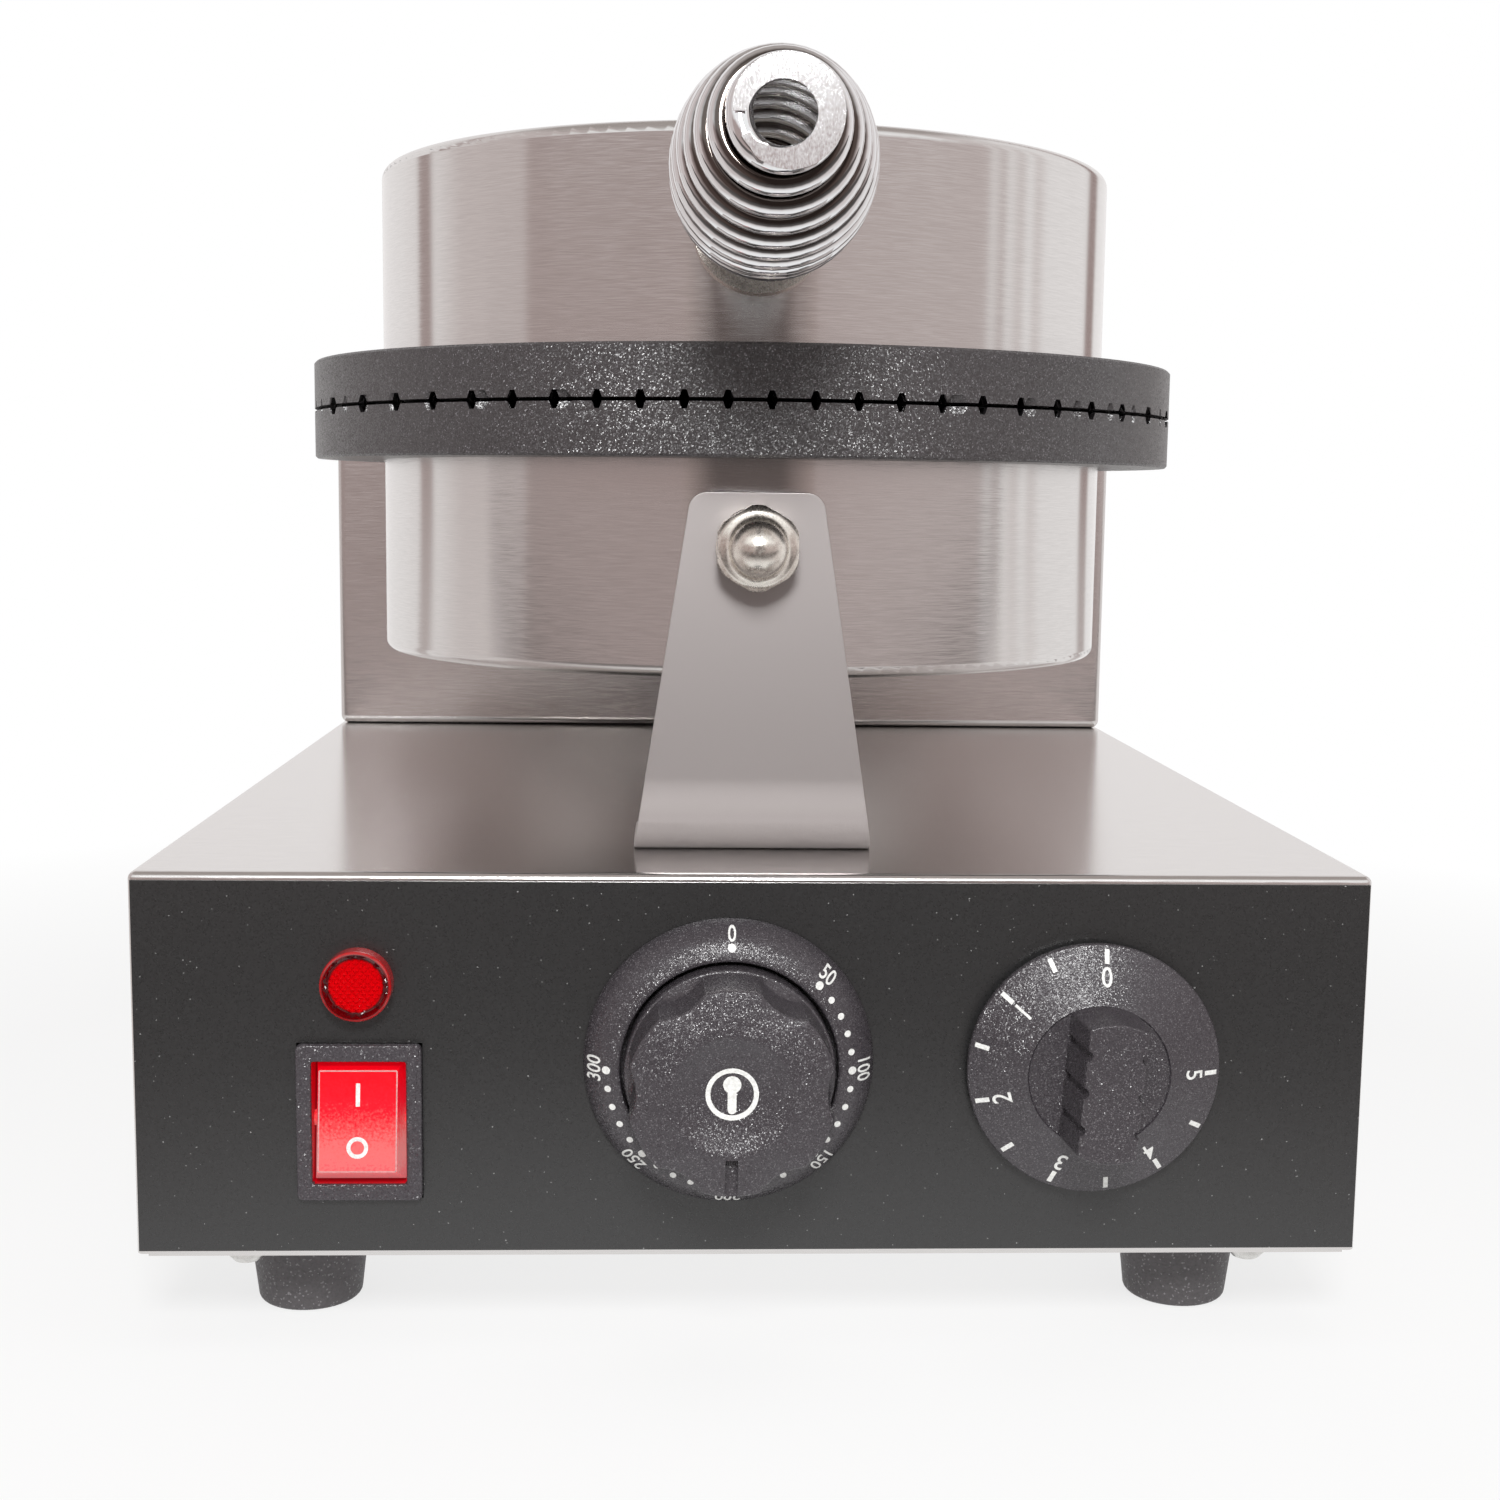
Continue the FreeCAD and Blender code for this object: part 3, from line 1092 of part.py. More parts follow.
def handle_washer():
    low = -HANDLE_WASHER_SEAT
    length = HANDLE_WASHER_SEAT + HANDLE_WASHER_T
    disc = Part.makeCylinder(HANDLE_WASHER_R, length, V(0, 0, low))
    hole = Part.makeCylinder(STUD_R + RUN_FIT, length + 2 * OVER, V(0, 0, low - OVER))
    return handle_piece(disc.cut(hole)).cut(rod_z(Z_UP_BACK, Z_CAN_TOP, 0, 0, CAN_R + SEAT_GAP))


def handle_nuts():
    half = HANDLE_NUT_FLATS / math.sqrt(3)
    inside = -CAN_T - wall_sag(half) - half * math.sin(math.radians(HANDLE_TILT)) - SEAT_GAP
    inner = nut(V(0, 0, inside), DOWN, HANDLE_NUT_FLATS, HANDLE_NUT_T, STUD_R)
    outer = nut(V(0, 0, HANDLE_WASHER_T), UP, HANDLE_NUT_FLATS, HANDLE_NUT_T, STUD_R)
    return [handle_piece(inner), handle_piece(outer)]


# Where the middle of the wire lies after this many turns of the barrel
def coil_point(turn):
    share = (turn - COIL_PLAIN_TURNS) / (COIL_TURNS - 2 * COIL_PLAIN_TURNS)
    swell = math.sin(math.pi * min(max(share, 0.0), 1.0)) ** COIL_BARREL
    radius = COIL_END_R + (COIL_MAX_R - COIL_END_R) * swell
    pitch = (COIL_LENGTH - COIL_WIRE) / COIL_TURNS
    angle = 2 * math.pi * turn
    return V(radius * math.cos(angle), radius * math.sin(angle), COIL_ROOT + COIL_WIRE / 2 + pitch * turn)


def coil_heading(turn):
    step = 0.01
    way = coil_point(turn + step) - coil_point(turn - step)
    return way.normalize()


# An arc that leaves one point along a heading and ends on another point
def arc_from(start, heading, end):
    chord = end - start
    along = FreeCAD.Vector(chord).normalize()
    turn = math.acos(max(-1.0, min(1.0, heading.dot(along))))
    side = heading - along * heading.dot(along)
    side.normalize()
    middle = (start + end) * 0.5 + side * (chord.Length / 2 * math.tan(turn / 2))
    return Part.Arc(start, middle, end).toShape()


# Two arcs that join one point and heading to the next
def biarc(start, heading, end, heading_end):
    chord = end - start
    both = heading + heading_end
    spread = 2 * (1 - heading.dot(heading_end))
    reach = chord.dot(both)
    size = (-reach + math.sqrt(reach * reach + spread * chord.dot(chord))) / spread
    joint = (start + heading * size + end - heading_end * size) * 0.5
    first = arc_from(start, heading, joint)
    second_heading = (end - heading_end * size - joint).normalize()
    return [first, arc_from(joint, second_heading, end)]


# One wire wound into a barrel, gripping the stud with its first turns
def handle_coil():
    edges = []
    for k in range(4 * COIL_TURNS):
        start = k / 4
        end = (k + 1) / 4
        edges += biarc(coil_point(start), coil_heading(start), coil_point(end), coil_heading(end))
    section = Part.Wire(Part.makeCircle(COIL_WIRE / 2, coil_point(0), coil_heading(0)))
    sweep = Part.BRepOffsetAPI.MakePipeShell(Part.Wire(edges))
    sweep.add(section)
    sweep.build()
    sweep.makeSolid()
    return handle_piece(sweep.shape())


def coil_gap():
    steps = 36
    points = [coil_point(k / steps) for k in range(steps * COIL_TURNS + 1)]
    least = COIL_LENGTH
    for k, point in enumerate(points):
        for other in points[k + steps // 2:k + 2 * steps]:
            least = min(least, point.distanceToPoint(other))
    return least - COIL_WIRE


NODES = {
    "base_housing": base_housing, "control_panel": control_panel, "bottom_cover": bottom_cover,
    "rubber_feet": rubber_feet, "foot_screws": foot_screws, "cover_screws": cover_screws,
    "front_bracket": front_bracket, "bracket_screws": bracket_screws, "front_bolt": front_bolt,
    "front_spacer": front_spacer, "front_washer": front_washer, "front_cap_nut": front_cap_nut,
    "rear_upright": rear_upright, "upright_cover": upright_cover, "upright_screws": upright_screws,
    "upright_cover_screws": upright_cover_screws, "hinge_brackets": hinge_brackets,
    "hinge_bracket_screws": hinge_bracket_screws, "hinge_pin": hinge_pin, "hinge_washers": hinge_washers,
    "hinge_cap_nuts": hinge_cap_nuts, "lower_can": lower_can, "lower_plate": lambda: plate(LOWER),
    "lower_heater": lambda: heater(LOWER), "lower_heater_clamp": lambda: heater_clamp(LOWER),
    "lower_clamp_screws": lambda: clamp_screws(LOWER), "lower_pillars": lambda: pillars(LOWER),
    "lower_can_screws": lambda: can_screws(LOWER), "sensor_bulb": sensor_bulb, "lead_nipple": lead_nipple,
    "nipple_nuts": nipple_nuts, "switch_housing": switch_housing, "switch_rocker": switch_rocker,
    "lamp_holder": lamp_holder, "lamp_lens": lamp_lens, "thermostat_dial": thermostat_dial,
    "thermostat_knob": thermostat_knob, "thermostat_shaft": thermostat_shaft,
    "thermostat_unit": thermostat_unit, "timer_knob": timer_knob, "timer_shaft": timer_shaft,
    "timer_unit": timer_unit, "unit_screws": unit_screws, "terminal_block": terminal_block,
    "cord_gland": cord_gland, "gland_nut": gland_nut, "upright_lead_bush": upright_lead_bush,
    "upper_can": upper_can, "upper_plate": lambda: plate(UPPER), "upper_heater": lambda: heater(UPPER),
    "upper_heater_clamp": lambda: heater_clamp(UPPER), "upper_clamp_screws": lambda: clamp_screws(UPPER),
    "upper_pillars": lambda: pillars(UPPER), "upper_can_screws": lambda: can_screws(UPPER),
    "upper_lead_bush": upper_lead_bush, "handle_stud": handle_stud, "handle_washer": handle_washer,
    "handle_nuts": handle_nuts, "handle_coil": handle_coil,
}

os.makedirs("parts", exist_ok=True)
for name, make in NODES.items():
    made = make()
    if isinstance(made, list):
        made = Part.makeCompound(made)
    made.translate(V(0, -Y_MIDDLE, 0))
    made.exportStep("parts/" + name + ".step")
    print(name, len(made.Solids), made.isValid(), round(made.Volume, 1))
print("least gap between the turns of the handle coil, mm:", round(coil_gap(), 3))
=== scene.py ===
import json
import math

import bpy
from mathutils import Matrix, Vector

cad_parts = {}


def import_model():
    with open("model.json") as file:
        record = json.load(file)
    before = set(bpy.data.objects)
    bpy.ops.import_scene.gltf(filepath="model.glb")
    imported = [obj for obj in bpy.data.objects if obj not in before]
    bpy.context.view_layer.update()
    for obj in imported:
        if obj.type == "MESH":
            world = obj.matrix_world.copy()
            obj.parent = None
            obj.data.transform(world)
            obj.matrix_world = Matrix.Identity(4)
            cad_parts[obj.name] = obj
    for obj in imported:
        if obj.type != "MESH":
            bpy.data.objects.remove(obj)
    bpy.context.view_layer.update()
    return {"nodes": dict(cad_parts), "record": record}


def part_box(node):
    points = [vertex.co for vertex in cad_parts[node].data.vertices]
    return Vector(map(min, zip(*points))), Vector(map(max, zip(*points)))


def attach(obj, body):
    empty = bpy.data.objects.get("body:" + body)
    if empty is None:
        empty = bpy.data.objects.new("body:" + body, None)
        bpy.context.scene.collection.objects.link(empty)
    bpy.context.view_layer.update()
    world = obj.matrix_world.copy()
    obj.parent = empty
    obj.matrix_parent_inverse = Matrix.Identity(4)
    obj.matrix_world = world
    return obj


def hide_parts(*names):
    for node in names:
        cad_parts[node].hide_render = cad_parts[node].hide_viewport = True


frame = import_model()
NODES = frame["nodes"]
SLOTS = {part["node"]: part["material_slot"] for part in frame["record"]["subparts"]}
MM = 0.001

# The camera, solved from the corners of the base and the rims of the cans
CAMERA_AT = Vector((-18.5, -524.54, 175.0)) * MM
CAMERA_YAW = -2.40
CAMERA_PITCH = -7.23
CAMERA_ROLL = 0.70
CAMERA_LENS = 48.36
SENSOR_W = 36.0

# Places taken from the frame
CAN_LOW, CAN_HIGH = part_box("upper_can")
CAN_R = (CAN_HIGH.x - CAN_LOW.x) / 2
HEAD_AXIS = (CAN_LOW + CAN_HIGH) / 2
PANEL_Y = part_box("control_panel")[0].y


def middle(node):
    """The middle of a CAD piece."""
    low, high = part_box(node)
    return (low + high) / 2


def on_panel(node):
    """The point on the panel's face behind the middle of a control."""
    spot = middle(node)
    return Vector((spot.x, PANEL_Y, spot.z))


def on_strap(node):
    """The middle of the rear face of a fastener on the strap."""
    spot = middle(node)
    return Vector((spot.x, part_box(node)[1].y, spot.z))


# The wound handle's own sizes in mm: where its axis starts, its tilt, its wire and its barrel
COIL_START = Vector((0, -100.333, 229.6))
COIL_TILT = 3.9
COIL_LEAN = math.radians(COIL_TILT)
COIL_AXIS = (0, -math.cos(COIL_LEAN), math.sin(COIL_LEAN))
COIL_UPRIGHT = (0, math.sin(COIL_LEAN), math.cos(COIL_LEAN))
COIL_ROOT = 8.05
WIRE_D = 4.6
COIL_END_R = 7.4
COIL_MAX_R = 16.6
BARREL_POWER = 0.8
COIL_TURNS = 14.5
COIL_GROUND = 84.0
GROUND_SHARE = 0.42
RING_STEPS = 48
WIRE_SIDES = 20
ROUND_START = 0.75
ROUND_LESS = 1.75
CLOSED_TURNS = 1.1
CLOSING_TURNS = 0.5
PITCH_STEP = 0.0001


def coil_height(turn, pitch):
    """How far along the wire's middle is: an even pitch, closing to touching turns at the front end."""
    even = COIL_TURNS - CLOSED_TURNS - CLOSING_TURNS
    if turn <= even:
        return pitch * turn
    late = min(turn - even, CLOSING_TURNS)
    slack = (pitch - WIRE_D) * late * late / (2 * CLOSING_TURNS)
    rest = max(0.0, turn - even - CLOSING_TURNS)
    return pitch * (even + late) - slack + WIRE_D * rest


def coil_pitch():
    """The even pitch at which the whole winding is as long as the handle."""
    reach = COIL_GROUND + GROUND_SHARE * WIRE_D - WIRE_D / 2
    low, high = WIRE_D, 2 * WIRE_D
    while high - low > PITCH_STEP:
        pitch = (low + high) / 2
        if coil_height(COIL_TURNS, pitch) > reach:
            high = pitch
        else:
            low = pitch
    return pitch


def coil_radius(turn):
    """How far the wire's middle is from the axis: a barrel with straight ends."""
    share = min(1.0, max(0.0, (turn - ROUND_START) / (COIL_TURNS - ROUND_LESS)))
    return COIL_END_R + (COIL_MAX_R - COIL_END_R) * math.sin(math.pi * share) ** BARREL_POWER


# Helpers for materials

def finish(name, sockets=None):
    """A new material whose constant values sit on the shader's own sockets."""
    material = bpy.data.materials.new(name)
    material.use_nodes = True
    shader = material.node_tree.nodes["Principled BSDF"]
    for socket, value in (sockets or {}).items():
        shader.inputs[socket].default_value = value
    return material, material.node_tree, shader


def add(tree, kind, inputs=None, **settings):
    """A node with its settings, constant inputs and links."""
    node = tree.nodes.new(kind)
    for key, value in settings.items():
        setattr(node, key, value)
    for socket, value in (inputs or {}).items():
        if isinstance(value, bpy.types.NodeSocket):
            tree.links.new(value, node.inputs[socket])
        else:
            node.inputs[socket].default_value = value
    return node


def feed(tree, shader, name, socket):
    """Link a value to one of the shader's sockets."""
    tree.links.new(socket, shader.inputs[name])


def maths(tree, operation, first, second=0.0):
    """One sum with plain values."""
    return add(tree, "ShaderNodeMath", {0: first, 1: second}, operation=operation).outputs[0]


def vectors(tree, operation, first, second=(0, 0, 0)):
    """One sum with vectors; a length and a dot product come out as plain values."""
    node = add(tree, "ShaderNodeVectorMath", {0: first, 1: second}, operation=operation)
    return node.outputs["Value" if operation in ("LENGTH", "DOT_PRODUCT") else "Vector"]


def scaled(tree, vector, by):
    """A vector made longer or shorter."""
    node = add(tree, "ShaderNodeVectorMath", {0: vector, "Scale": by}, operation="SCALE")
    return node.outputs["Vector"]


def place(tree):
    """The object's own coordinates, which are the frame's, in metres."""
    return add(tree, "ShaderNodeTexCoord").outputs["Object"]


def axes(tree, where):
    """The X, Y and Z of a place or a direction."""
    return add(tree, "ShaderNodeSeparateXYZ", {0: where}).outputs


def noise(tree, where, waves, detail=3.0, roughness=0.6):
    """Noise with its own count of waves per metre along each axis."""
    stretched = add(tree, "ShaderNodeMapping", {"Vector": where, "Scale": waves})
    texture = add(tree, "ShaderNodeTexNoise", {"Vector": stretched.outputs[0], "Scale": 1.0,
                                               "Detail": detail, "Roughness": roughness})
    return texture.outputs["Fac"]


def even_noise(tree, waves, detail=3.0):
    """Noise that is as fine along every axis."""
    return noise(tree, place(tree), (waves, waves, waves), detail)


def swing(tree, value, by):
    """A noise value as a swing to both sides of nothing."""
    return maths(tree, "MULTIPLY", maths(tree, "SUBTRACT", value, 0.5), by)


def spread(tree, value, low, high, start=0.3, end=0.7):
    """A value stretched over a range."""
    node = add(tree, "ShaderNodeMapRange", {"Value": value, "From Min": start, "From Max": end,
                                            "To Min": low, "To Max": high})
    return node.outputs[0]


def ramp(tree, value, stops):
    """A row of colours along a value from 0 to 1."""
    node = add(tree, "ShaderNodeValToRGB", {"Fac": value})
    row = node.color_ramp.elements
    row[0].position = stops[0][0]
    row[1].position = stops[-1][0]
    for at, color in stops[1:-1]:
        row.new(at)
    for element, (at, color) in zip(row, stops):
        element.color = (*color, 1)
    return node.outputs["Color"]


def tint(tree, value, dark, light, start=0.3, end=0.7):
    """A colour between a dark and a light one."""
    return ramp(tree, value, [(start, dark), (end, light)])


def blend(tree, factor, first, second):
    """A mix of two colours, each of them a constant or a link."""
    node = add(tree, "ShaderNodeMix", {"Factor": factor}, data_type="RGBA")
    for socket, color in ((6, first), (7, second)):
        if isinstance(color, tuple):
            node.inputs[socket].default_value = (*color, 1)
        else:
            tree.links.new(color, node.inputs[socket])
    return node.outputs[2]


def shades(color, by):
    """A colour a little darker and a little lighter."""
    return [(1 - by) * part for part in color], [min(1.0, (1 + by) * part) for part in color]


def relief(tree, shader, height, depth, strength, normal=None):
    """A fine relief on the surface; the depth is in mm."""
    bump = add(tree, "ShaderNodeBump", {"Height": height, "Distance": depth * MM, "Strength": strength})
    if normal:
        tree.links.new(normal, bump.inputs["Normal"])
    feed(tree, shader, "Normal", bump.outputs[0])


def turn_from_front(tree, x, y):
    """The angle of a direction from the front, seen from above."""
    return maths(tree, "ARCTAN2", x, maths(tree, "MULTIPLY", y, -1.0))


def around_head(tree):
    """Coordinates that run round the cans' axis: arc length, distance from the axis and height."""
    away = vectors(tree, "SUBTRACT", place(tree), (HEAD_AXIS.x, HEAD_AXIS.y, 0))
    parts = axes(tree, away)
    arc = maths(tree, "MULTIPLY", turn_from_front(tree, parts["X"], parts["Y"]), CAN_R)
    out = vectors(tree, "LENGTH", vectors(tree, "MULTIPLY", away, (1, 1, 0)))
    return add(tree, "ShaderNodeCombineXYZ", {"X": arc, "Y": out, "Z": parts["Z"]}).outputs[0]


def leaned(tree, cross, lean):
    """The surface's own direction, leaned by a changing vector."""
    normal = add(tree, "ShaderNodeNewGeometry").outputs["Normal"]
    return vectors(tree, "NORMALIZE", vectors(tree, "ADD", normal, scaled(tree, cross, lean)))


# Finishes

HAIRLINES = (200, 9000, 9000)


def steel(name, where_of, waves, cross, lean, dark, light, rough, sockets=None):
    """Stainless with hairlines along the grain in colour and roughness, leaning across the grain."""
    material, tree, shader = finish(name, {"Metallic": 1.0, **(sockets or {})})
    fine = noise(tree, where_of(tree), waves, 1.0, 0.5)
    feed(tree, shader, "Base Color", tint(tree, fine, dark, light))
    feed(tree, shader, "Roughness", spread(tree, fine, *rough))
    feed(tree, shader, "Normal", leaned(tree, cross, swing(tree, fine, lean)))
    return material, tree, shader


def spun_steel():
    """The cans: grain round the axis, so that reflections smear upwards and stay sharp sideways."""
    material, tree, shader = steel(
        "spun_steel", around_head, HAIRLINES, cross=(0, 0, 1), lean=0.11,
        dark=(0.72, 0.705, 0.695), light=(0.80, 0.785, 0.775), rough=(0.15, 0.18),
        sockets={"Anisotropic": 0.93, "Anisotropic Rotation": 0.25})
    way = add(tree, "ShaderNodeTangent", direction_type="RADIAL", axis="Z")
    feed(tree, shader, "Tangent", way.outputs[0])
    return material


def sheet_steel():
    """The base and the upright: brushed from side to side."""
    return steel("sheet_steel", place, HAIRLINES, cross=(0, 1, 1), lean=0.10,
                 dark=(0.69, 0.67, 0.66), light=(0.77, 0.75, 0.74), rough=(0.16, 0.22))[0]


def satin_steel():
    """The strap: a fine blasted grain, duller towards its fold."""
    material, tree, shader = steel(
        "satin_steel", place, (6000, 6000, 6000), cross=(0, 0, 1), lean=0.06,
        dark=(0.48, 0.45, 0.445), light=(0.52, 0.49, 0.485), rough=(0.44, 0.48))
    height = axes(tree, place(tree))["Z"]
    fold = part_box("front_bracket")[0].z
    feed(tree, shader, "Roughness", spread(tree, height, 0.78, 0.46, fold + 8 * MM, fold + 16 * MM))
    return material


def plain(name, color, rough, waves, depth, metal=1.0):
    """A finish with a fine even grain in its colour, roughness and relief."""
    material, tree, shader = finish(name, {"Metallic": metal})
    grain = even_noise(tree, waves)
    feed(tree, shader, "Base Color", tint(tree, grain, *shades(color, 0.15)))
    feed(tree, shader, "Roughness", spread(tree, grain, rough * 0.85, rough * 1.15))
    relief(tree, shader, grain, depth, 0.5)
    return material


def grains(tree, size):
    """Small cells, each with three values of its own, and a lean that is small in most of them."""
    cells = add(tree, "ShaderNodeTexVoronoi", {"Vector": place(tree), "Scale": 1.0 / (size * MM)})
    color = cells.outputs["Color"]
    parts = axes(tree, color)
    seldom = maths(tree, "ADD", 0.25, maths(tree, "MULTIPLY", parts["Z"], 0.75))
    return parts, scaled(tree, vectors(tree, "SUBTRACT", color, (0.5, 0.5, 0.5)), seldom)


def flecked(name, color, fleck, share, size, lean, rough, waves, depth, gloss=0.5):
    """A dark coat of small grains that lean their own ways and glint, a few of them pale flecks."""
    material, tree, shader = finish(name, {"Specular IOR Level": gloss})
    parts, way = grains(tree, size)
    chosen = maths(tree, "GREATER_THAN", parts["X"], 1.0 - share)
    grain = even_noise(tree, waves)
    feed(tree, shader, "Base Color", blend(tree, chosen, tint(tree, grain, *shades(color, 0.2)), fleck))
    feed(tree, shader, "Roughness", spread(tree, grain, rough * 0.85, rough * 1.15))
    relief(tree, shader, grain, depth, 0.6, leaned(tree, way, lean))
    return material


def clear_red(name, color, rough, glow, gloss):
    """Red see-through plastic, with the light that it gathers as a glow."""
    material, tree, shader = finish(name, {"Metallic": 0.0, "Specular IOR Level": gloss,
                                           "Emission Color": (*color, 1), "Emission Strength": glow})
    cloud = even_noise(tree, 700, 2.0)
    feed(tree, shader, "Base Color", tint(tree, cloud, [0.9 * part for part in color], color))
    feed(tree, shader, "Roughness", spread(tree, cloud, rough * 0.8, rough * 1.2))
    return material, tree, shader


# The lamp's tones by their distance from its middle in mm
LAMP_TONES = [(0.0, (0.50, 0.001, 0.003)), (5.1, (0.50, 0.001, 0.003)), (5.5, (0.07, 0.0, 0.001)),
              (6.5, (0.05, 0.0, 0.001)), (6.85, (0.40, 0.002, 0.004)), (8.0, (0.34, 0.002, 0.004))]
LAMP_GROOVE = (5.2 * MM, 5.6 * MM)


def lens_red():
    """The lamp's cap: bright in the middle and at its lip, deep red in the groove between them."""
    color = (0.46, 0.001, 0.003)
    material, tree, shader = clear_red("lens_red", color, rough=0.06, glow=0.24, gloss=0.25)
    away = vectors(tree, "SUBTRACT", place(tree), tuple(middle("lamp_lens")))
    out = vectors(tree, "LENGTH", vectors(tree, "MULTIPLY", away, (1, 0, 1)))
    widest = LAMP_TONES[-1][0]
    stops = [(radius / widest, tone) for radius, tone in LAMP_TONES]
    rings = ramp(tree, spread(tree, out, 0.0, 1.0, 0.0, widest * MM), stops)
    feed(tree, shader, "Base Color", rings)
    feed(tree, shader, "Emission Color", rings)
    feed(tree, shader, "Specular IOR Level", spread(tree, out, 0.12, 0.9, *LAMP_GROOVE))
    feed(tree, shader, "Coat Weight", spread(tree, out, 0.0, 1.0, *LAMP_GROOVE))
    return material


# The rocker's glow from its lower to its upper end; its pale lower end is a painted reflection of the light
# from above.
KEY_GLOW_AND_PAINTED_SHEEN = [(0.0, (0.60, 0.30, 0.32)), (0.10, (0.58, 0.46, 0.45)), (0.32, (0.62, 0.42, 0.40)),
            (0.48, (0.66, 0.20, 0.20)), (0.66, (0.70, 0.02, 0.05)), (1.0, (0.72, 0.001, 0.012))]
GLOW_AND_SHEEN_REACH = 10 * MM
GRIT_SWING = 14 * MM


def rocker_red():
    """The lit key: its lamp's glow, pure red above and pale pink below, where a painted reflection of the
    light from above is added to the glow.
    """
    color = (0.70, 0.002, 0.008)
    material, tree, shader = clear_red("rocker_red", color, rough=0.40, glow=0.42, gloss=0.15)
    grit = swing(tree, even_noise(tree, 1900, 2.0), GRIT_SWING)
    height = maths(tree, "ADD", axes(tree, place(tree))["Z"], grit)
    key = middle("switch_rocker").z
    share = spread(tree, height, 0.0, 1.0, key - GLOW_AND_SHEEN_REACH, key + GLOW_AND_SHEEN_REACH)
    # Painted reflection: the emission turns pale pink towards the key's lower end.
    feed(tree, shader, "Emission Color", ramp(tree, share, KEY_GLOW_AND_PAINTED_SHEEN))
    return material


def wire_places(tree):
    """How far along the handle a point is, and how far it is from the wire's middle along the handle."""
    away = vectors(tree, "SUBTRACT", place(tree), tuple(COIL_START * MM))
    along = vectors(tree, "DOT_PRODUCT", away, COIL_AXIS)
    up = vectors(tree, "DOT_PRODUCT", away, COIL_UPRIGHT)
    turn = maths(tree, "MULTIPLY", maths(tree, "ARCTAN2", up, axes(tree, away)["X"]), 0.5 / math.pi)
    pitch = coil_pitch() * MM
    start = (COIL_ROOT + WIRE_D / 2) * MM
    count = maths(tree, "DIVIDE", maths(tree, "SUBTRACT", along, start), pitch)
    part = maths(tree, "SUBTRACT", count, turn)
    off = maths(tree, "ABSOLUTE", maths(tree, "SUBTRACT", part, maths(tree, "ROUND", part)))
    return along, maths(tree, "MULTIPLY", off, pitch)


def chrome_wire():
    """Bright chrome with painted shade between the turns, where the base colour turns dark, and fine
    scratches on the end that is ground flat.
    """
    material, tree, shader = finish("chrome_wire", {"Metallic": 1.0})
    along, off = wire_places(tree)
    # Painted shade: the base colour is dark between the turns, where the gaps are shaded, and bright chrome
    # on the wire's crest and on the ground end.
    clear_of_gap_shade = spread(tree, off, 1.0, 0.0, 1.85 * MM, 2.1 * MM)
    end = (COIL_ROOT + COIL_GROUND) * MM
    ground = spread(tree, along, 0.0, 1.0, end - 0.3 * MM, end - 0.1 * MM)
    bright = maths(tree, "MAXIMUM", clear_of_gap_shade, ground)
    chrome = tint(tree, bright, (0.14, 0.12, 0.11), (0.84, 0.84, 0.85), 0.0, 1.0)
    feed(tree, shader, "Base Color", chrome)
    feed(tree, shader, "Roughness", spread(tree, ground, 0.045, 0.07, 0.0, 1.0))
    scratches = noise(tree, place(tree), (3600, 3600, 1500))
    lean = swing(tree, scratches, maths(tree, "MULTIPLY", ground, 0.08))
    feed(tree, shader, "Normal", leaned(tree, (0.3, 0, 1), lean))
    return material


FINISHES = {
    "brushed_steel": sheet_steel(),
    "spun_steel": spun_steel(),
    "chrome_wire": chrome_wire(),
    "red_rocker": rocker_red(),
    "red_lens": lens_red(),
    "steel_fasteners": plain("bright_steel", (0.82, 0.78, 0.72), rough=0.27, waves=1500, depth=0.008),
    "zinc_screws": plain("plated_screws", (0.66, 0.65, 0.63), rough=0.28, waves=900, depth=0.01),
    "zinc_parts": plain("zinc_parts", (0.62, 0.62, 0.62), rough=0.30, waves=700, depth=0.02),
    "heater_sheath": plain("heater_sheath", (0.33, 0.31, 0.29), rough=0.40, waves=800, depth=0.02),
    "copper_bulb": plain("copper_bulb", (0.60, 0.33, 0.20), rough=0.28, waves=800, depth=0.01),
    "white_ceramic": plain("white_ceramic", (0.78, 0.76, 0.70), rough=0.45, waves=600, depth=0.03,
                           metal=0.0),
    "nonstick_aluminium": flecked("nonstick_coat", (0.036, 0.032, 0.034), (0.13, 0.12, 0.13), share=0.05,
                                  size=0.24, lean=0.85, rough=0.33, waves=2600, depth=0.02, gloss=0.9),
    "black_panel": flecked("panel_black", (0.018, 0.018, 0.0184), (0.30, 0.30, 0.30), share=0.001,
                           size=0.2, lean=0.10, rough=0.30, waves=3000, depth=0.01, gloss=0.85),
    "black_plastic": flecked("grained_plastic", (0.047, 0.041, 0.047), (0.15, 0.14, 0.15), share=0.07,
                             size=0.18, lean=0.80, rough=0.27, waves=3200, depth=0.02, gloss=0.6),
    "gloss_black": flecked("switch_plastic", (0.050, 0.043, 0.050), (0.10, 0.09, 0.10), share=0.04,
                           size=0.26, lean=0.9, rough=0.30, waves=2600, depth=0.02, gloss=0.6),
    "foot_rubber": flecked("foot_rubber", (0.095, 0.088, 0.092), (0.24, 0.23, 0.24), share=0.06,
                           size=0.35, lean=0.6, rough=0.55, waves=1200, depth=0.04),
}
SATIN_STEEL = satin_steel()
# Painted light: the red glow that the key's lamp casts on the walls of the switch's well.
PAINTED_WELL_LIGHT = clear_red("painted_well_light", (0.50, 0.002, 0.010), rough=0.35, glow=0.20, gloss=0.2)[0]
PRINT_WHITE = plain("print_white", (0.80, 0.80, 0.78), rough=0.45, waves=2000, depth=0.004, metal=0.0)
# Painted highlight: pale pink for the lines along the rocker key's edges, where the light catches them.
PAINTED_EDGE_HIGHLIGHT = plain("painted_edge_highlight", (0.62, 0.30, 0.30), rough=0.40, waves=1500, depth=0.004, metal=0.0)

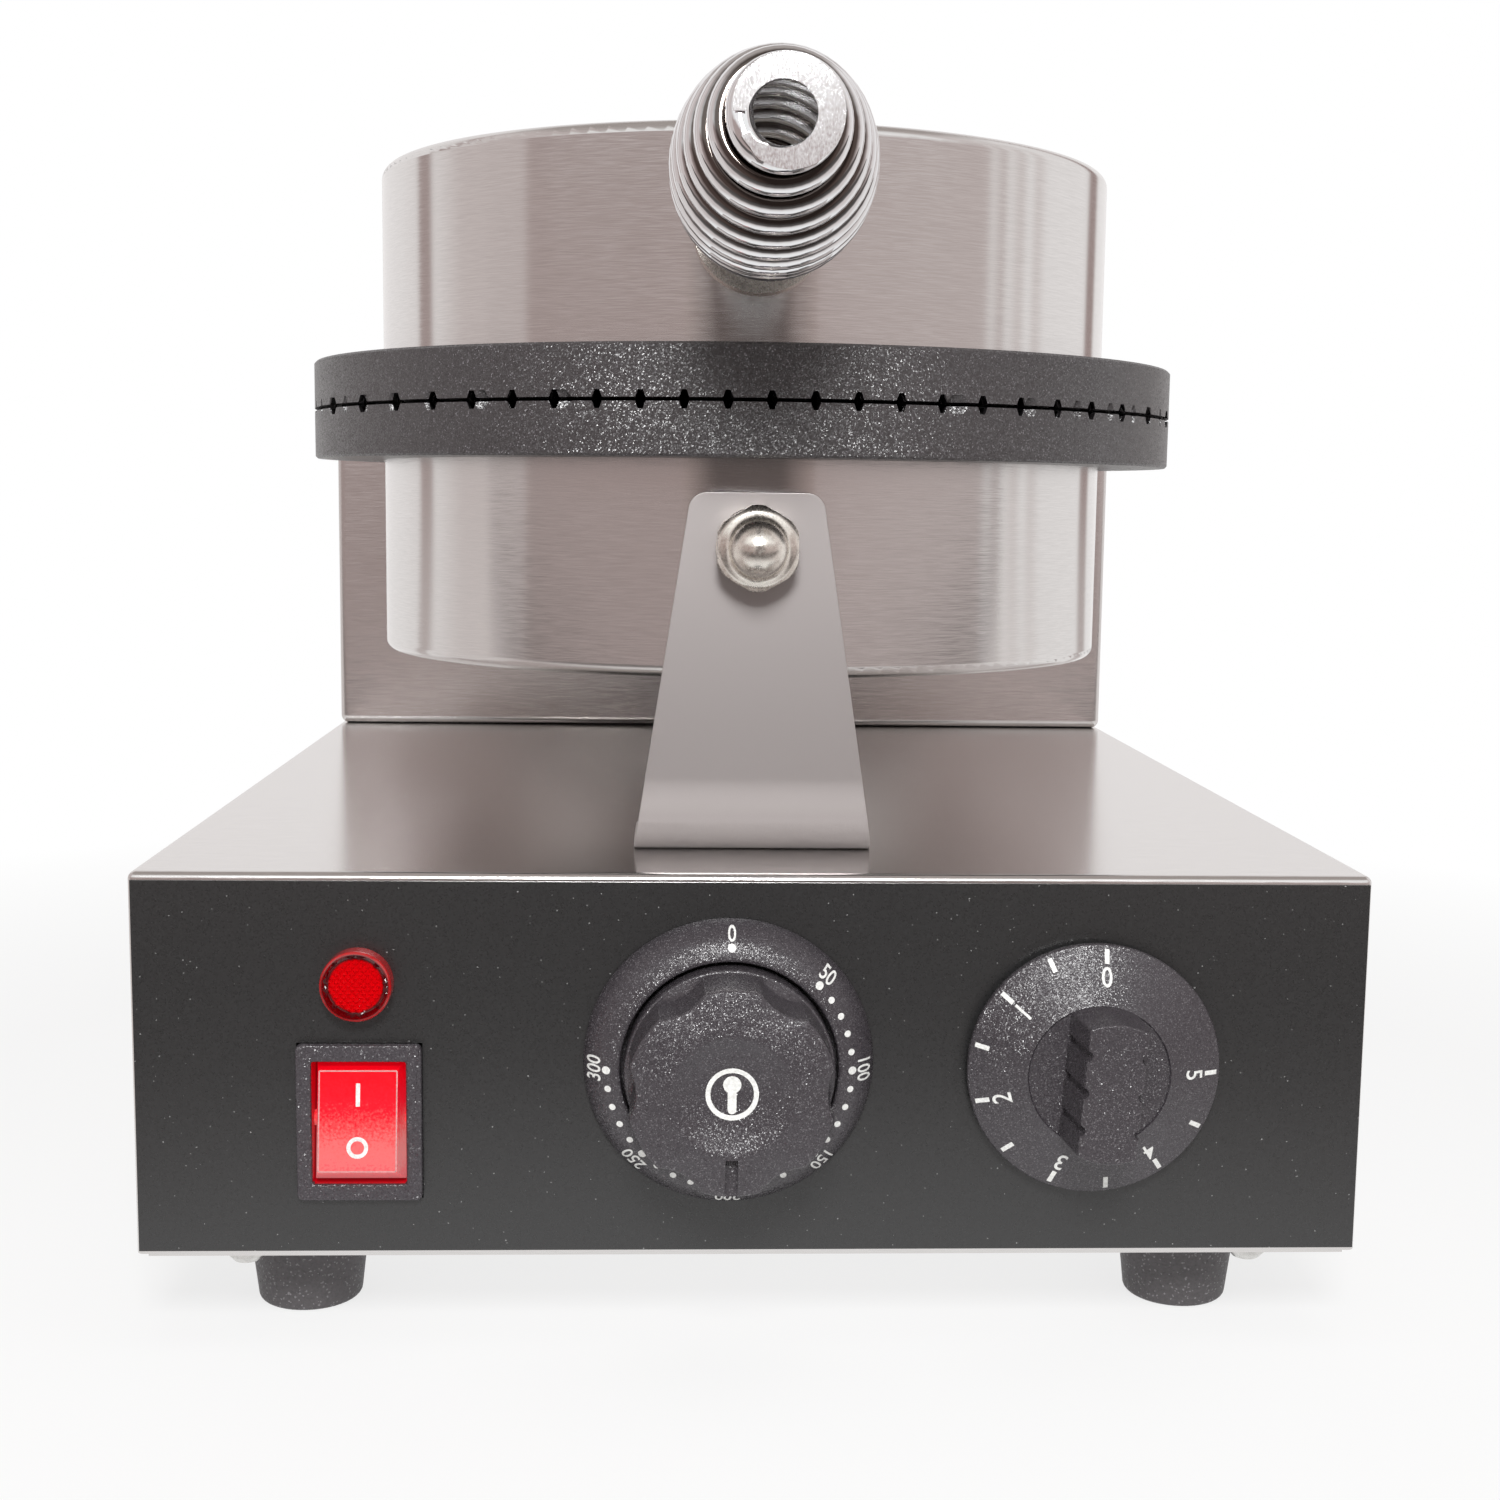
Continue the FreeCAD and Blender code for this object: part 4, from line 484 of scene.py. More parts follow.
for node, slot in SLOTS.items():
    mesh = NODES[node].data
    mesh.materials.clear()
    mesh.materials.append(FINISHES[slot])


# Helpers for modelling

DOUBLES = 0.000001
FLAT_ANGLE = 0.5
SMOOTH_ANGLE = 32


def deselect():
    """Leave nothing selected."""
    bpy.ops.object.select_all(action="DESELECT")


def only(piece):
    """Select one piece and nothing else."""
    deselect()
    piece.select_set(True)
    bpy.context.view_layer.objects.active = piece


def open_all(piece):
    """Open a mesh with everything in it selected."""
    only(piece)
    bpy.ops.object.mode_set(mode="EDIT")
    bpy.ops.mesh.select_mode(type="VERT")
    bpy.ops.mesh.select_all(action="SELECT")


def close_mesh():
    """Leave edit mode."""
    bpy.ops.object.mode_set(mode="OBJECT")


def pick(piece, kind, test):
    """Open a mesh with those faces or edges selected whose middle and direction pass a test."""
    only(piece)
    bpy.ops.object.mode_set(mode="EDIT")
    bpy.ops.mesh.select_mode(type=kind)
    bpy.ops.mesh.select_all(action="DESELECT")
    close_mesh()
    mesh = piece.data
    if kind == "FACE":
        for face in mesh.polygons:
            face.select = test(face.center / MM, face.normal)
    else:
        for edge in mesh.edges:
            start, end = (mesh.vertices[i].co for i in edge.vertices)
            edge.select = test((start + end) / 2 / MM, (end - start).normalized())
    bpy.ops.object.mode_set(mode="EDIT")


def tidy_mesh(piece):
    """Merge doubles and turn the faces outwards."""
    open_all(piece)
    bpy.ops.mesh.remove_doubles(threshold=DOUBLES)
    bpy.ops.mesh.normals_make_consistent(inside=False)
    close_mesh()


def subdivide(piece, cuts):
    """Cut all faces finer, so that a print can follow a curved face."""
    open_all(piece)
    bpy.ops.mesh.subdivide(number_cuts=cuts)
    close_mesh()


def settle(piece):
    """Put the piece's place into its mesh."""
    only(piece)
    bpy.ops.object.transform_apply(location=True, rotation=True, scale=True)


def put_flat(piece, at, turn):
    """Put a flat print at a point and turn it clockwise."""
    piece.rotation_euler = (0, 0, -math.radians(turn))
    piece.location = Vector((*at, 0)) * MM
    settle(piece)


def raise_by(piece, height):
    """Move all points of a flat print outwards."""
    for point in piece.data.vertices:
        point.co.z += height


def face_front(piece, at, tilt=0.0):
    """Turn a piece that was modelled lying on its back to stand out from the panel."""
    piece.rotation_euler = (math.radians(90 - tilt), 0, 0)
    piece.location = at
    settle(piece)


def apply_all(piece):
    """Apply the piece's modifiers."""
    only(piece)
    for modifier in list(piece.modifiers):
        bpy.ops.object.modifier_apply(modifier=modifier.name)


def carve(piece, cutter, operation="DIFFERENCE"):
    """Take one shape out of another, or keep what both share."""
    cut = piece.modifiers.new("carve", "BOOLEAN")
    cut.operation = operation
    cut.object = cutter
    apply_all(piece)
    only(cutter)
    bpy.ops.object.delete()


def soften(piece, width, segments=2, angle=30.0):
    """Round off the edges that are sharper than an angle."""
    edge = piece.modifiers.new("soften", "BEVEL")
    edge.width = width * MM
    edge.segments = segments
    edge.limit_method = "ANGLE"
    edge.angle_limit = math.radians(angle)
    apply_all(piece)


def joined(pieces, name):
    """Several meshes as one piece."""
    deselect()
    for piece in pieces:
        piece.select_set(True)
    bpy.context.view_layer.objects.active = pieces[0]
    bpy.ops.object.join()
    whole = bpy.context.object
    whole.name = name
    return whole


def dress(piece, body, material, stands_for=()):
    """Give a finished piece its finish and its body, and hide the nodes that it stands for."""
    only(piece)
    bpy.ops.object.shade_smooth_by_angle(angle=math.radians(SMOOTH_ANGLE))
    even = piece.modifiers.new("even", "WEIGHTED_NORMAL")
    even.weight = 90
    even.keep_sharp = True
    apply_all(piece)
    piece.data.materials.clear()
    piece.data.materials.append(material)
    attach(piece, body)
    if stands_for:
        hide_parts(*stands_for)


def dress_as(piece, body, node):
    """Dress a piece with the finish of the CAD piece's slot, and hide the CAD piece that it stands for."""
    slot = SLOTS[node]
    dress(piece, body, FINISHES[slot], [node])


def turned(name, profile, sides, start="NGON"):
    """A round piece drawn up ring by ring from a circle; the profile is radius and height in mm."""
    deselect()
    bpy.ops.mesh.primitive_circle_add(vertices=sides, radius=profile[0][0] * MM, fill_type=start,
                                      location=(0, 0, profile[0][1] * MM))
    piece = bpy.context.object
    piece.name = name
    settle(piece)
    open_all(piece)
    for (radius, height), (wider, higher) in zip(profile, profile[1:]):
        bpy.ops.mesh.extrude_region_move(TRANSFORM_OT_translate={"value": (0, 0, (higher - height) * MM)})
        grow = wider / radius
        bpy.ops.transform.resize(value=(grow, grow, 1), center_override=(0, 0, higher * MM))
    close_mesh()
    tidy_mesh(piece)
    return piece


def cylinder(radius, depth, at, turn=(0, 0, 0), sides=32):
    """A round bar, as a cutter or as the start of a print."""
    deselect()
    bpy.ops.mesh.primitive_cylinder_add(vertices=sides, radius=radius * MM, depth=depth * MM,
                                        location=Vector(at) * MM, rotation=turn)
    return bpy.context.object


def block(size, at):
    """A square bar, as a cutter or as the start of a piece."""
    deselect()
    bpy.ops.mesh.primitive_cube_add(size=1.0, location=Vector(at) * MM)
    piece = bpy.context.object
    piece.scale = Vector(size) * MM
    settle(piece)
    return piece


def merged_copy(node, name):
    """A copy of a CAD piece as one merged mesh."""
    piece = bpy.data.objects.new(name, NODES[node].data.copy())
    bpy.context.scene.collection.objects.link(piece)
    open_all(piece)
    bpy.ops.mesh.remove_doubles(threshold=DOUBLES)
    bpy.ops.mesh.dissolve_limited(angle_limit=math.radians(FLAT_ANGLE))
    close_mesh()
    return piece


def eased_copy(node, name, width, segments=2):
    """A CAD piece with its sharp edges rounded off a little."""
    piece = merged_copy(node, name)
    soften(piece, width, segments)
    return piece


# The wound handle

def straight_winding():
    """The wire wound in place, ring after ring, before it is drawn out to the barrel."""
    deselect()
    bpy.ops.mesh.primitive_circle_add(vertices=WIRE_SIDES, radius=WIRE_D / 2 * MM, fill_type="NOTHING",
                                      location=(COIL_END_R * MM, 0, 0), rotation=(math.radians(90), 0, 0))
    wire = bpy.context.object
    wire.name = "handle_wire"
    settle(wire)
    wind = wire.modifiers.new("wind", "SCREW")
    wind.axis = "Z"
    wind.angle = 2 * math.pi * COIL_TURNS
    wind.steps = int(RING_STEPS * COIL_TURNS)
    wind.render_steps = wind.steps
    wind.screw_offset = 0.0
    wind.use_merge_vertices = False
    apply_all(wire)
    return wire


def draw_barrel(wire):
    """Draw the winding out to its pitch and to the radius of each turn."""
    pitch = coil_pitch()
    for index, point in enumerate(wire.data.vertices):
        turn = (index // WIRE_SIDES) / RING_STEPS
        angle = 2 * math.pi * turn
        out = math.hypot(point.co.x, point.co.y) + (coil_radius(turn) - COIL_END_R) * MM
        rise = point.co.z + (COIL_ROOT + WIRE_D / 2 + coil_height(turn, pitch)) * MM
        point.co = (out * math.cos(angle), out * math.sin(angle), rise)


def grind_end(wire):
    """Close the wire's two ends and grind the front turn flat."""
    only(wire)
    bpy.ops.object.mode_set(mode="EDIT")
    bpy.ops.mesh.select_mode(type="EDGE")
    bpy.ops.mesh.select_all(action="DESELECT")
    bpy.ops.mesh.select_non_manifold()
    bpy.ops.mesh.edge_face_add()
    bpy.ops.mesh.select_all(action="SELECT")
    bpy.ops.mesh.normals_make_consistent(inside=False)
    bpy.ops.mesh.bisect(plane_co=(0, 0, (COIL_ROOT + COIL_GROUND) * MM), plane_no=(0, 0, 1),
                        use_fill=True, clear_outer=True)
    close_mesh()


def handle_wire():
    """One wire wound to a barrel, its front turn closed and ground flat."""
    wire = straight_winding()
    draw_barrel(wire)
    grind_end(wire)
    face_front(wire, COIL_START * MM, COIL_TILT)
    dress_as(wire, "lid", "handle_coil")


# The thermostat knob

KNOB_R = 20.3
KNOB_SIDES = 300
KNOB_PROFILE = [(20.4, 3.4), (20.9, 3.8), (20.9, 9.9), (20.7, 10.25), (20.4, 10.4), (20.36, 10.6),
                (20.34, 11.0), (20.33, 11.6), (20.32, 12.4), (20.31, 14.2), (20.3, 17.0), (20.3, 20.0),
                (20.3, 22.6), (20.26, 23.7), (20.1, 24.1), (19.8, 24.35), (18.6, 24.65), (15.0, 25.5),
                (12.2, 25.96), (11.7, 25.98), (11.2, 25.8)]
FLUTE_R = 10.8
FLUTE_DEPTH = 1.85
FLUTE_ANGLES = (30, 90, 150, 210, 270, 330)
FLUTE_FOOT = 10.5
FLUTE_FADE = 1.9
FLUTE_LEAST_R = 17.0
DISH_R = 11.2
DISH_DEPTH = 2.5
DISH_TOP = 25.8
DISH_RINGS = (10.4, 9.2, 8.0, 6.4, 4.8, 3.2, 1.6, 0.4)
POINTER_SIZE = (2.4, 12.0, 3.0)
POINTER_AT = (0, -18.4, 25.0)


def dish_height(radius):
    """How far the knob's dish stands out at a radius."""
    ball = (DISH_R ** 2 + DISH_DEPTH ** 2) / (2 * DISH_DEPTH)
    return DISH_TOP - DISH_DEPTH + ball - math.sqrt(ball ** 2 - radius ** 2)


def flute_dent(angle):
    """How deep the flutes cut into the knob's round at an angle from the top."""
    away = min(abs((angle - flute + 180) % 360 - 180) for flute in FLUTE_ANGLES)
    middle_r = KNOB_R + FLUTE_R - FLUTE_DEPTH
    side = middle_r * math.sin(math.radians(away))
    if side >= FLUTE_R:
        return 0.0
    wall = middle_r * math.cos(math.radians(away)) - math.sqrt(FLUTE_R ** 2 - side ** 2)
    return max(0.0, KNOB_R - wall)


def scoop_flutes(knob):
    """Press the flutes into the knob's round, fading out towards its skirt."""
    for point in knob.data.vertices:
        x, y, z = point.co / MM
        out = math.hypot(x, y)
        if out < FLUTE_LEAST_R or z < FLUTE_FOOT:
            continue
        fade = min(1.0, (z - FLUTE_FOOT) / FLUTE_FADE)
        dent = flute_dent(math.degrees(math.atan2(x, y))) * math.sin(math.pi / 2 * fade)
        point.co.x *= (out - dent) / out
        point.co.y *= (out - dent) / out


def thermostat_knob():
    """A turned knob with six scooped flutes, a dish and a pointer groove."""
    dish = [(radius, dish_height(radius)) for radius in DISH_RINGS]
    knob = turned("knob_of_thermostat", KNOB_PROFILE + dish, KNOB_SIDES)
    scoop_flutes(knob)
    carve(knob, block(POINTER_SIZE, POINTER_AT))
    face_front(knob, on_panel("thermostat_dial"))
    dress_as(knob, "thermostat", "thermostat_knob")


# The timer knob

TIMER_SIDES = 144
TIMER_SLOPE = [(25.5, 3.55), (14.4, 9.1)]
TIMER_BACK = [(25.2, 1.4), (25.6, 1.8), (25.7, 3.2)]
TIMER_PROFILE = TIMER_BACK + TIMER_SLOPE + [(14.1, 8.7), (13.8, 8.6), (8.0, 8.6), (0.5, 8.6)]
TIMER_REST_TURN = 4.0
GRIP_W = 11.6
GRIP_LOW = 6.0
GRIP_OUT = 22.0
GRIP_FOOT_R = 14.5
GRIP_TOP_R = 13.9
GRIP_DRAFT = 0.09
GRIP_ROUND = 1.2
GROOVE_R = 1.1
GROOVE_L = 18.0
GROOVE_MIDDLE = 16.0
GROOVE_OUT = 0.1
GROOVE_PLACES = (-7.4, 0, 7.4)


def timer_grip():
    """A bar with drafted sides, rounded edges and three grooves on each side."""
    deselect()
    bpy.ops.mesh.primitive_cone_add(vertices=128, radius1=GRIP_FOOT_R * MM, radius2=GRIP_TOP_R * MM,
                                    depth=(GRIP_OUT - GRIP_LOW) * MM,
                                    location=(0, 0, (GRIP_OUT + GRIP_LOW) / 2 * MM))
    grip = bpy.context.object
    settle(grip)
    for side in (-1, 1):
        open_all(grip)
        bpy.ops.mesh.bisect(plane_co=(side * GRIP_W / 2 * MM, 0, GRIP_OUT * MM),
                            plane_no=(side, 0, GRIP_DRAFT), use_fill=True, clear_outer=True)
        close_mesh()
    soften(grip, GRIP_ROUND, 4, 40.0)
    wall = GRIP_W / 2 + GRIP_DRAFT * (GRIP_OUT - GROOVE_MIDDLE) + GROOVE_OUT
    for side in (-1, 1):
        for across in GROOVE_PLACES:
            spot = (side * wall, across, GROOVE_MIDDLE)
            carve(grip, cylinder(GROOVE_R, GROOVE_L, spot, (0, -side * GRIP_DRAFT, 0), 20))
    return grip


def timer_knob():
    """A numbered disc with a sunk line round its hub and a bar grip."""
    disc = turned("knob_of_timer", TIMER_PROFILE, TIMER_SIDES)
    knob = joined([disc, timer_grip()], "knob_of_timer")
    put_flat(knob, (0, 0), TIMER_REST_TURN)
    face_front(knob, on_panel("timer_knob"))
    dress_as(knob, "timer", "timer_knob")


# Printed numbers and signs

PRINT_THICK = 0.04
PRINT_CLEAR = 0.06
LETTER_SIZE = 1.38
LETTER_BOLD = 0.05
LETTER_WIDTH = 0.9


def number(words, height, at, turn):
    """Raised print of a few letters, lying flat, its top turned away from the middle."""
    deselect()
    bpy.ops.object.text_add()
    letters = bpy.context.object
    letters.data.body = words
    letters.data.align_x = "CENTER"
    letters.data.align_y = "CENTER"
    letters.data.size = height * LETTER_SIZE * MM
    letters.data.extrude = PRINT_THICK / 2 * MM
    letters.data.offset = LETTER_BOLD * MM
    letters.data.resolution_u = 4
    only(letters)
    bpy.ops.object.convert(target="MESH")
    letters = bpy.context.object
    subdivide(letters, 2)
    letters.scale = (LETTER_WIDTH, 1, 1)
    put_flat(letters, at, turn)
    return letters


def polar(radius, turn):
    """A point at a radius and an angle clockwise from the top."""
    return radius * math.sin(math.radians(turn)), radius * math.cos(math.radians(turn))


def dot(radius, at):
    """A printed dot."""
    return cylinder(radius, PRINT_THICK, (*at, 0), sides=20)


def dash(width, length, at, turn=0):
    """A printed line."""
    line = block((width, length, PRINT_THICK), (0, 0, 0))
    subdivide(line, 5)
    put_flat(line, at, turn)
    return line


def flat_ring(outer, inner):
    """A printed ring, drawn from a circle by inset."""
    deselect()
    bpy.ops.mesh.primitive_circle_add(vertices=64, radius=outer * MM, fill_type="NGON")
    ring = bpy.context.object
    pick(ring, "FACE", lambda spot, normal: True)
    bpy.ops.mesh.inset(thickness=(outer - inner) * MM, depth=0)
    bpy.ops.mesh.delete(type="FACE")
    bpy.ops.mesh.select_all(action="SELECT")
    bpy.ops.mesh.extrude_region_move(TRANSFORM_OT_translate={"value": (0, 0, PRINT_THICK * MM)})
    close_mesh()
    tidy_mesh(ring)
    return ring


def lift(piece, height_at):
    """Lay a flat print on a curved face."""
    for point in piece.data.vertices:
        x, y, z = point.co / MM
        point.co.z = (z + height_at(math.hypot(x, y)) + PRINT_CLEAR) * MM


def slope_height(slope, radius):
    """How far a rounded slope stands out at a radius."""
    for (wide, low), (narrow, high) in zip(slope, slope[1:]):
        if radius >= narrow:
            return low + (high - low) * (wide - min(radius, wide)) / (wide - narrow)
    return slope[-1][1]


# The thermostat's scale: the angle of each number, and the ring's outline

SCALE_MARKS = {"0": 0.6, "50": 46.2, "100": 90.8, "150": 135.5, "200": 180.1, "250": 224.7, "300": 269.3}
SCALE_STEPS = 25
STEPS_TO_NUMBER = 5
NUMBERS_R = 26.85
NUMBER_H = 2.8
DOTS_R = 24.5
BIG_DOT = 0.82
SMALL_DOT = 0.66
SHAFT_HOLE_R = 3.4
DIAL_BACK = [(SHAFT_HOLE_R, 0.0), (29.0, 0.0), (29.2, 0.2)]
DIAL_SLOPE = [(29.2, 1.2), (28.5, 2.7), (27.6, 4.0), (26.5, 5.2), (25.3, 6.15), (24.0, 6.85), (22.7, 7.35),
              (22.3, 7.4)]
DIAL_RIM = [(21.95, 7.3), (21.75, 7.05), (21.7, 6.6), (21.7, 1.2), (SHAFT_HOLE_R, 1.2), (SHAFT_HOLE_R, 0.0)]


def scale_ring():
    """The fixed ring round the knob, with a rounded slope and a rim."""
    ring = turned("scale_ring", DIAL_BACK + DIAL_SLOPE + DIAL_RIM, 144, "NOTHING")
    face_front(ring, on_panel("thermostat_dial"))
    dress_as(ring, "stand", "thermostat_dial")


def dial_print():
    """White numbers and dots on the scale ring."""
    prints = []
    for words, turn in SCALE_MARKS.items():
        prints.append(number(words, NUMBER_H, polar(NUMBERS_R, turn), turn))
        prints.append(dot(BIG_DOT, polar(DOTS_R, turn)))
    step = (SCALE_MARKS["300"] - SCALE_MARKS["50"]) / SCALE_STEPS
    for count in range(SCALE_STEPS + 1):
        if count % STEPS_TO_NUMBER:
            prints.append(dot(SMALL_DOT, polar(DOTS_R, SCALE_MARKS["50"] + step * count)))
    scale = joined(prints, "dial_print")
    lift(scale, lambda radius: slope_height(DIAL_SLOPE, radius))
    face_front(scale, on_panel("thermostat_dial"))
    dress(scale, "stand", PRINT_WHITE)


def knob_sign():
    """A plain ring with a small thermometer, bulb up, in the knob's dish."""
    ring = flat_ring(5.1, 4.15)
    bulb = dot(1.75, (0, 1.75))
    stem = dash(1.7, 4.4, (0, -0.9))
    foot = dot(0.85, (0, -3.1))
    sign = joined([ring, bulb, stem, foot], "knob_sign")
    lift(sign, dish_height)
    face_front(sign, on_panel("thermostat_dial"))
    dress(sign, "thermostat", PRINT_WHITE)


# The timer's minutes, counted against the clock

MINUTE_STEP = -54.6
HALF_MINUTES = 10
TICK_SIZE = (0.95, 2.7)
TICK_R = 23.5
MINUTES_R = 19.5
MINUTE_H = 3.8


def timer_print():
    """White minutes and ticks on the timer's disc."""
    prints = []
    for half in range(HALF_MINUTES + 1):
        turn = TIMER_REST_TURN + MINUTE_STEP * half / 2
        prints.append(dash(*TICK_SIZE, polar(TICK_R, turn), turn))
        if half % 2 == 0:
            prints.append(number(str(half // 2), MINUTE_H, polar(MINUTES_R, turn), turn))
    minutes = joined(prints, "timer_print")
    lift(minutes, lambda radius: slope_height(TIMER_SLOPE, radius))
    face_front(minutes, on_panel("timer_knob"))
    dress(minutes, "timer", PRINT_WHITE)


# The rocker switch

ROCKER_TILT = 9.0
ROCKER_PIVOT = 2.5
ROCKER_LEAN = math.radians(ROCKER_TILT)
ROCKER_OUT = Vector((0, -math.cos(ROCKER_LEAN), math.sin(ROCKER_LEAN)))
ROCKER_UP = Vector((0, math.sin(ROCKER_LEAN), math.cos(ROCKER_LEAN)))
KEY_CHAMFER = 0.6
# Width and inset of the painted edge highlight on the key.
EDGE_LINE_W = 0.28
EDGE_LINE_IN = 0.15
SIGN_AT = 5.25
STROKE_SIZE = (0.85, 4.6)
RING_RADII = (2.15, 1.35)
BEZEL = (25.1, 2.0, 32.2)
BEZEL_CORNER = 1.2
BEZEL_ROUND = 0.55
WELL_W = 18.8
WELL_H = 25.2
WELL_CUT = 8.0
LINING_GAP = 0.02
LINING_DEEP = 7.0
LINING_BACK = 2.1
LINING_WALL = 0.06
BODY_BEHIND = 0.05


def faces_front(at, way):
    """Whether an edge or a face points to the front or the back."""
    return abs(way.y) > 0.9


def switch_bezel():
    """The switch's frame before the panel, with rounded corners and edges."""
    spot = on_panel("switch_housing") / MM + Vector((0, -BEZEL[1] / 2, 0))
    bezel = block(BEZEL, spot)
    pick(bezel, "EDGE", faces_front)
    bpy.ops.mesh.bevel(offset=BEZEL_CORNER * MM, segments=5, affect="EDGES")
    close_mesh()
    carve(bezel, block((WELL_W, WELL_CUT, WELL_H), spot))
    soften(bezel, BEZEL_ROUND, 4)
    return bezel


def switch_frame():
    """The switch: its frame before the panel, and the body with its well behind it."""
    bezel = switch_bezel()
    body = merged_copy("switch_housing", "switch_body")
    open_all(body)
    bpy.ops.mesh.bisect(plane_co=(0, PANEL_Y + BODY_BEHIND * MM, 0), plane_no=(0, -1, 0), clear_outer=True)
    close_mesh()
    dress_as(joined([bezel, body], "switch_frame"), "stand", "switch_housing")


def switch_well():
    """Painted light: the red glow of the key's lamp on the walls of the switch's well, as a thin glowing
    lining.
    """
    spot = on_panel("switch_housing") / MM + Vector((0, LINING_BACK, 0))
    lining = block((WELL_W - LINING_GAP, LINING_DEEP, WELL_H - LINING_GAP), spot)
    pick(lining, "FACE", faces_front)
    bpy.ops.mesh.delete(type="FACE")
    close_mesh()
    wall = lining.modifiers.new("wall", "SOLIDIFY")
    wall.thickness = LINING_WALL * MM
    apply_all(lining)
    lining.name = "switch_well"
    dress(lining, "stand", PAINTED_WELL_LIGHT)


def rocker_edge_highlight(key, pivot, face):
    """A painted highlight: a pale line along the edges of the key's face, where the light catches them."""
    corners = [point.co - pivot for point in key.data.vertices]
    corners = [corner for corner in corners if corner.dot(ROCKER_OUT) > face - 0.01 * MM]
    wide = max(corner.x for corner in corners) / MM - EDGE_LINE_IN
    top = max(corner.dot(ROCKER_UP) for corner in corners) / MM - EDGE_LINE_IN
    bottom = min(corner.dot(ROCKER_UP) for corner in corners) / MM + EDGE_LINE_IN
    lines = [dash(EDGE_LINE_W, top - bottom, (side, (top + bottom) / 2)) for side in (-wide, wide)]
    lines += [dash(2 * wide, EDGE_LINE_W, (0, level)) for level in (top, bottom)]
    outline = joined(lines, "rocker_edge_highlight")
    raise_by(outline, face + 0.01 * MM)
    face_front(outline, pivot, ROCKER_TILT)
    dress(outline, "rocker", PAINTED_EDGE_HIGHLIGHT)


def rocker_signs(pivot, face):
    """The white stroke and the white ring on the key."""
    stroke = dash(*STROKE_SIZE, (0, SIGN_AT))
    ring = flat_ring(*RING_RADII)
    put_flat(ring, (0, -SIGN_AT), 0)
    signs = joined([stroke, ring], "rocker_signs")
    raise_by(signs, face + 0.02 * MM)
    face_front(signs, pivot, ROCKER_TILT)
    dress(signs, "rocker", PRINT_WHITE)


def rocker():
    """The red key with a chamfer round its face, a painted highlight as a pale line along its edges, and
    its two signs.
    """
    key = eased_copy("switch_rocker", "rocker_key", KEY_CHAMFER, 1)
    pivot = on_panel("switch_housing") + Vector((0, ROCKER_PIVOT * MM, 0))
    face = max((point.co - pivot).dot(ROCKER_OUT) for point in key.data.vertices)
    dress_as(key, "rocker", "switch_rocker")
    rocker_edge_highlight(key, pivot, face)
    rocker_signs(pivot, face)


# The signal lamp

LENS_SIDES = 96
LENS_PROFILE = [(7.0, 0.0), (7.15, 0.2), (7.15, 3.6), (7.0, 4.1), (6.75, 4.35), (6.5, 4.3), (6.2, 3.7),
                (6.0, 3.2), (5.8, 2.9), (5.5, 2.85), (1.0, 2.85)]
PRISM_SPAN = 12.0
PRISM_CELLS = 11
PRISM_LEVEL = 2.95
PRISM_FIELD_R = 5.5
PRISM_H = 0.6


def lamp_lens():
    """A bevelled red cap over a field of small prisms."""
    cap = turned("lamp_cap", LENS_PROFILE, LENS_SIDES)
    deselect()
    bpy.ops.mesh.primitive_grid_add(x_subdivisions=PRISM_CELLS, y_subdivisions=PRISM_CELLS,
                                    size=PRISM_SPAN * MM, location=(0, 0, PRISM_LEVEL * MM),
                                    rotation=(0, 0, math.radians(45)))
    prisms = bpy.context.object
    settle(prisms)
    pick(prisms, "FACE", lambda spot, normal: math.hypot(spot.x, spot.y) > PRISM_FIELD_R)
    bpy.ops.mesh.delete(type="FACE")
    bpy.ops.mesh.select_all(action="SELECT")
    bpy.ops.mesh.poke(offset=PRISM_H * MM)
    close_mesh()
    lens = joined([cap, prisms], "lamp_cap")
    face_front(lens, on_panel("lamp_lens"))
    dress_as(lens, "stand", "lamp_lens")


# The strap of the front support, with its domed nut and washer

STRAP_ROUND = 0.4
NUT_SIDES = 96
NUT_CORNER_R = 9.58
NUT_PROFILE = [(8.9, 0.0), (8.9, 5.2), (8.55, 5.9), (7.9, 6.55), (7.5, 6.75), (6.9, 6.95), (6.35, 7.35),
               (6.05, 7.9), (5.9, 8.6)]
DOME_R = 5.85
DOME_AT = 9.4
DOME_STEP = 6
WASHER_PROFILE = [(4.5, 0.0), (8.3, 0.0), (8.5, 0.2), (8.5, 1.4), (8.3, 1.6), (4.5, 1.6), (4.5, 0.0)]


def strap():
    """The folded strap with eased edges."""
    piece = eased_copy("front_bracket", "strap", STRAP_ROUND)
    dress(piece, "stand", SATIN_STEEL, ["front_bracket"])


def domed_nut():
    """A six-sided nut with a turned chamfer, a step and a dome."""
    turns = [math.radians(turn) for turn in range(0, 90, DOME_STEP)]
    dome = [(DOME_R * math.cos(turn), DOME_AT + DOME_R * math.sin(turn)) for turn in turns]
    nut = turned("domed_nut", NUT_PROFILE + dome, NUT_SIDES)
    carve(nut, cylinder(NUT_CORNER_R, 60.0, (0, 0, 0), sides=6), "INTERSECT")
    face_front(nut, on_strap("front_cap_nut"))
    dress_as(nut, "stand", "front_cap_nut")


def strap_washer():
    """The washer under the domed nut, hardly wider than the nut."""
    washer = turned("strap_washer", WASHER_PROFILE, 72, "NOTHING")
    face_front(washer, on_strap("front_washer"))
    dress_as(washer, "stand", "front_washer")


# The cross-slotted screws that show

SLOT_L = 3.6
SLOT_W = 0.8
SLOT_DEEP = 0.9


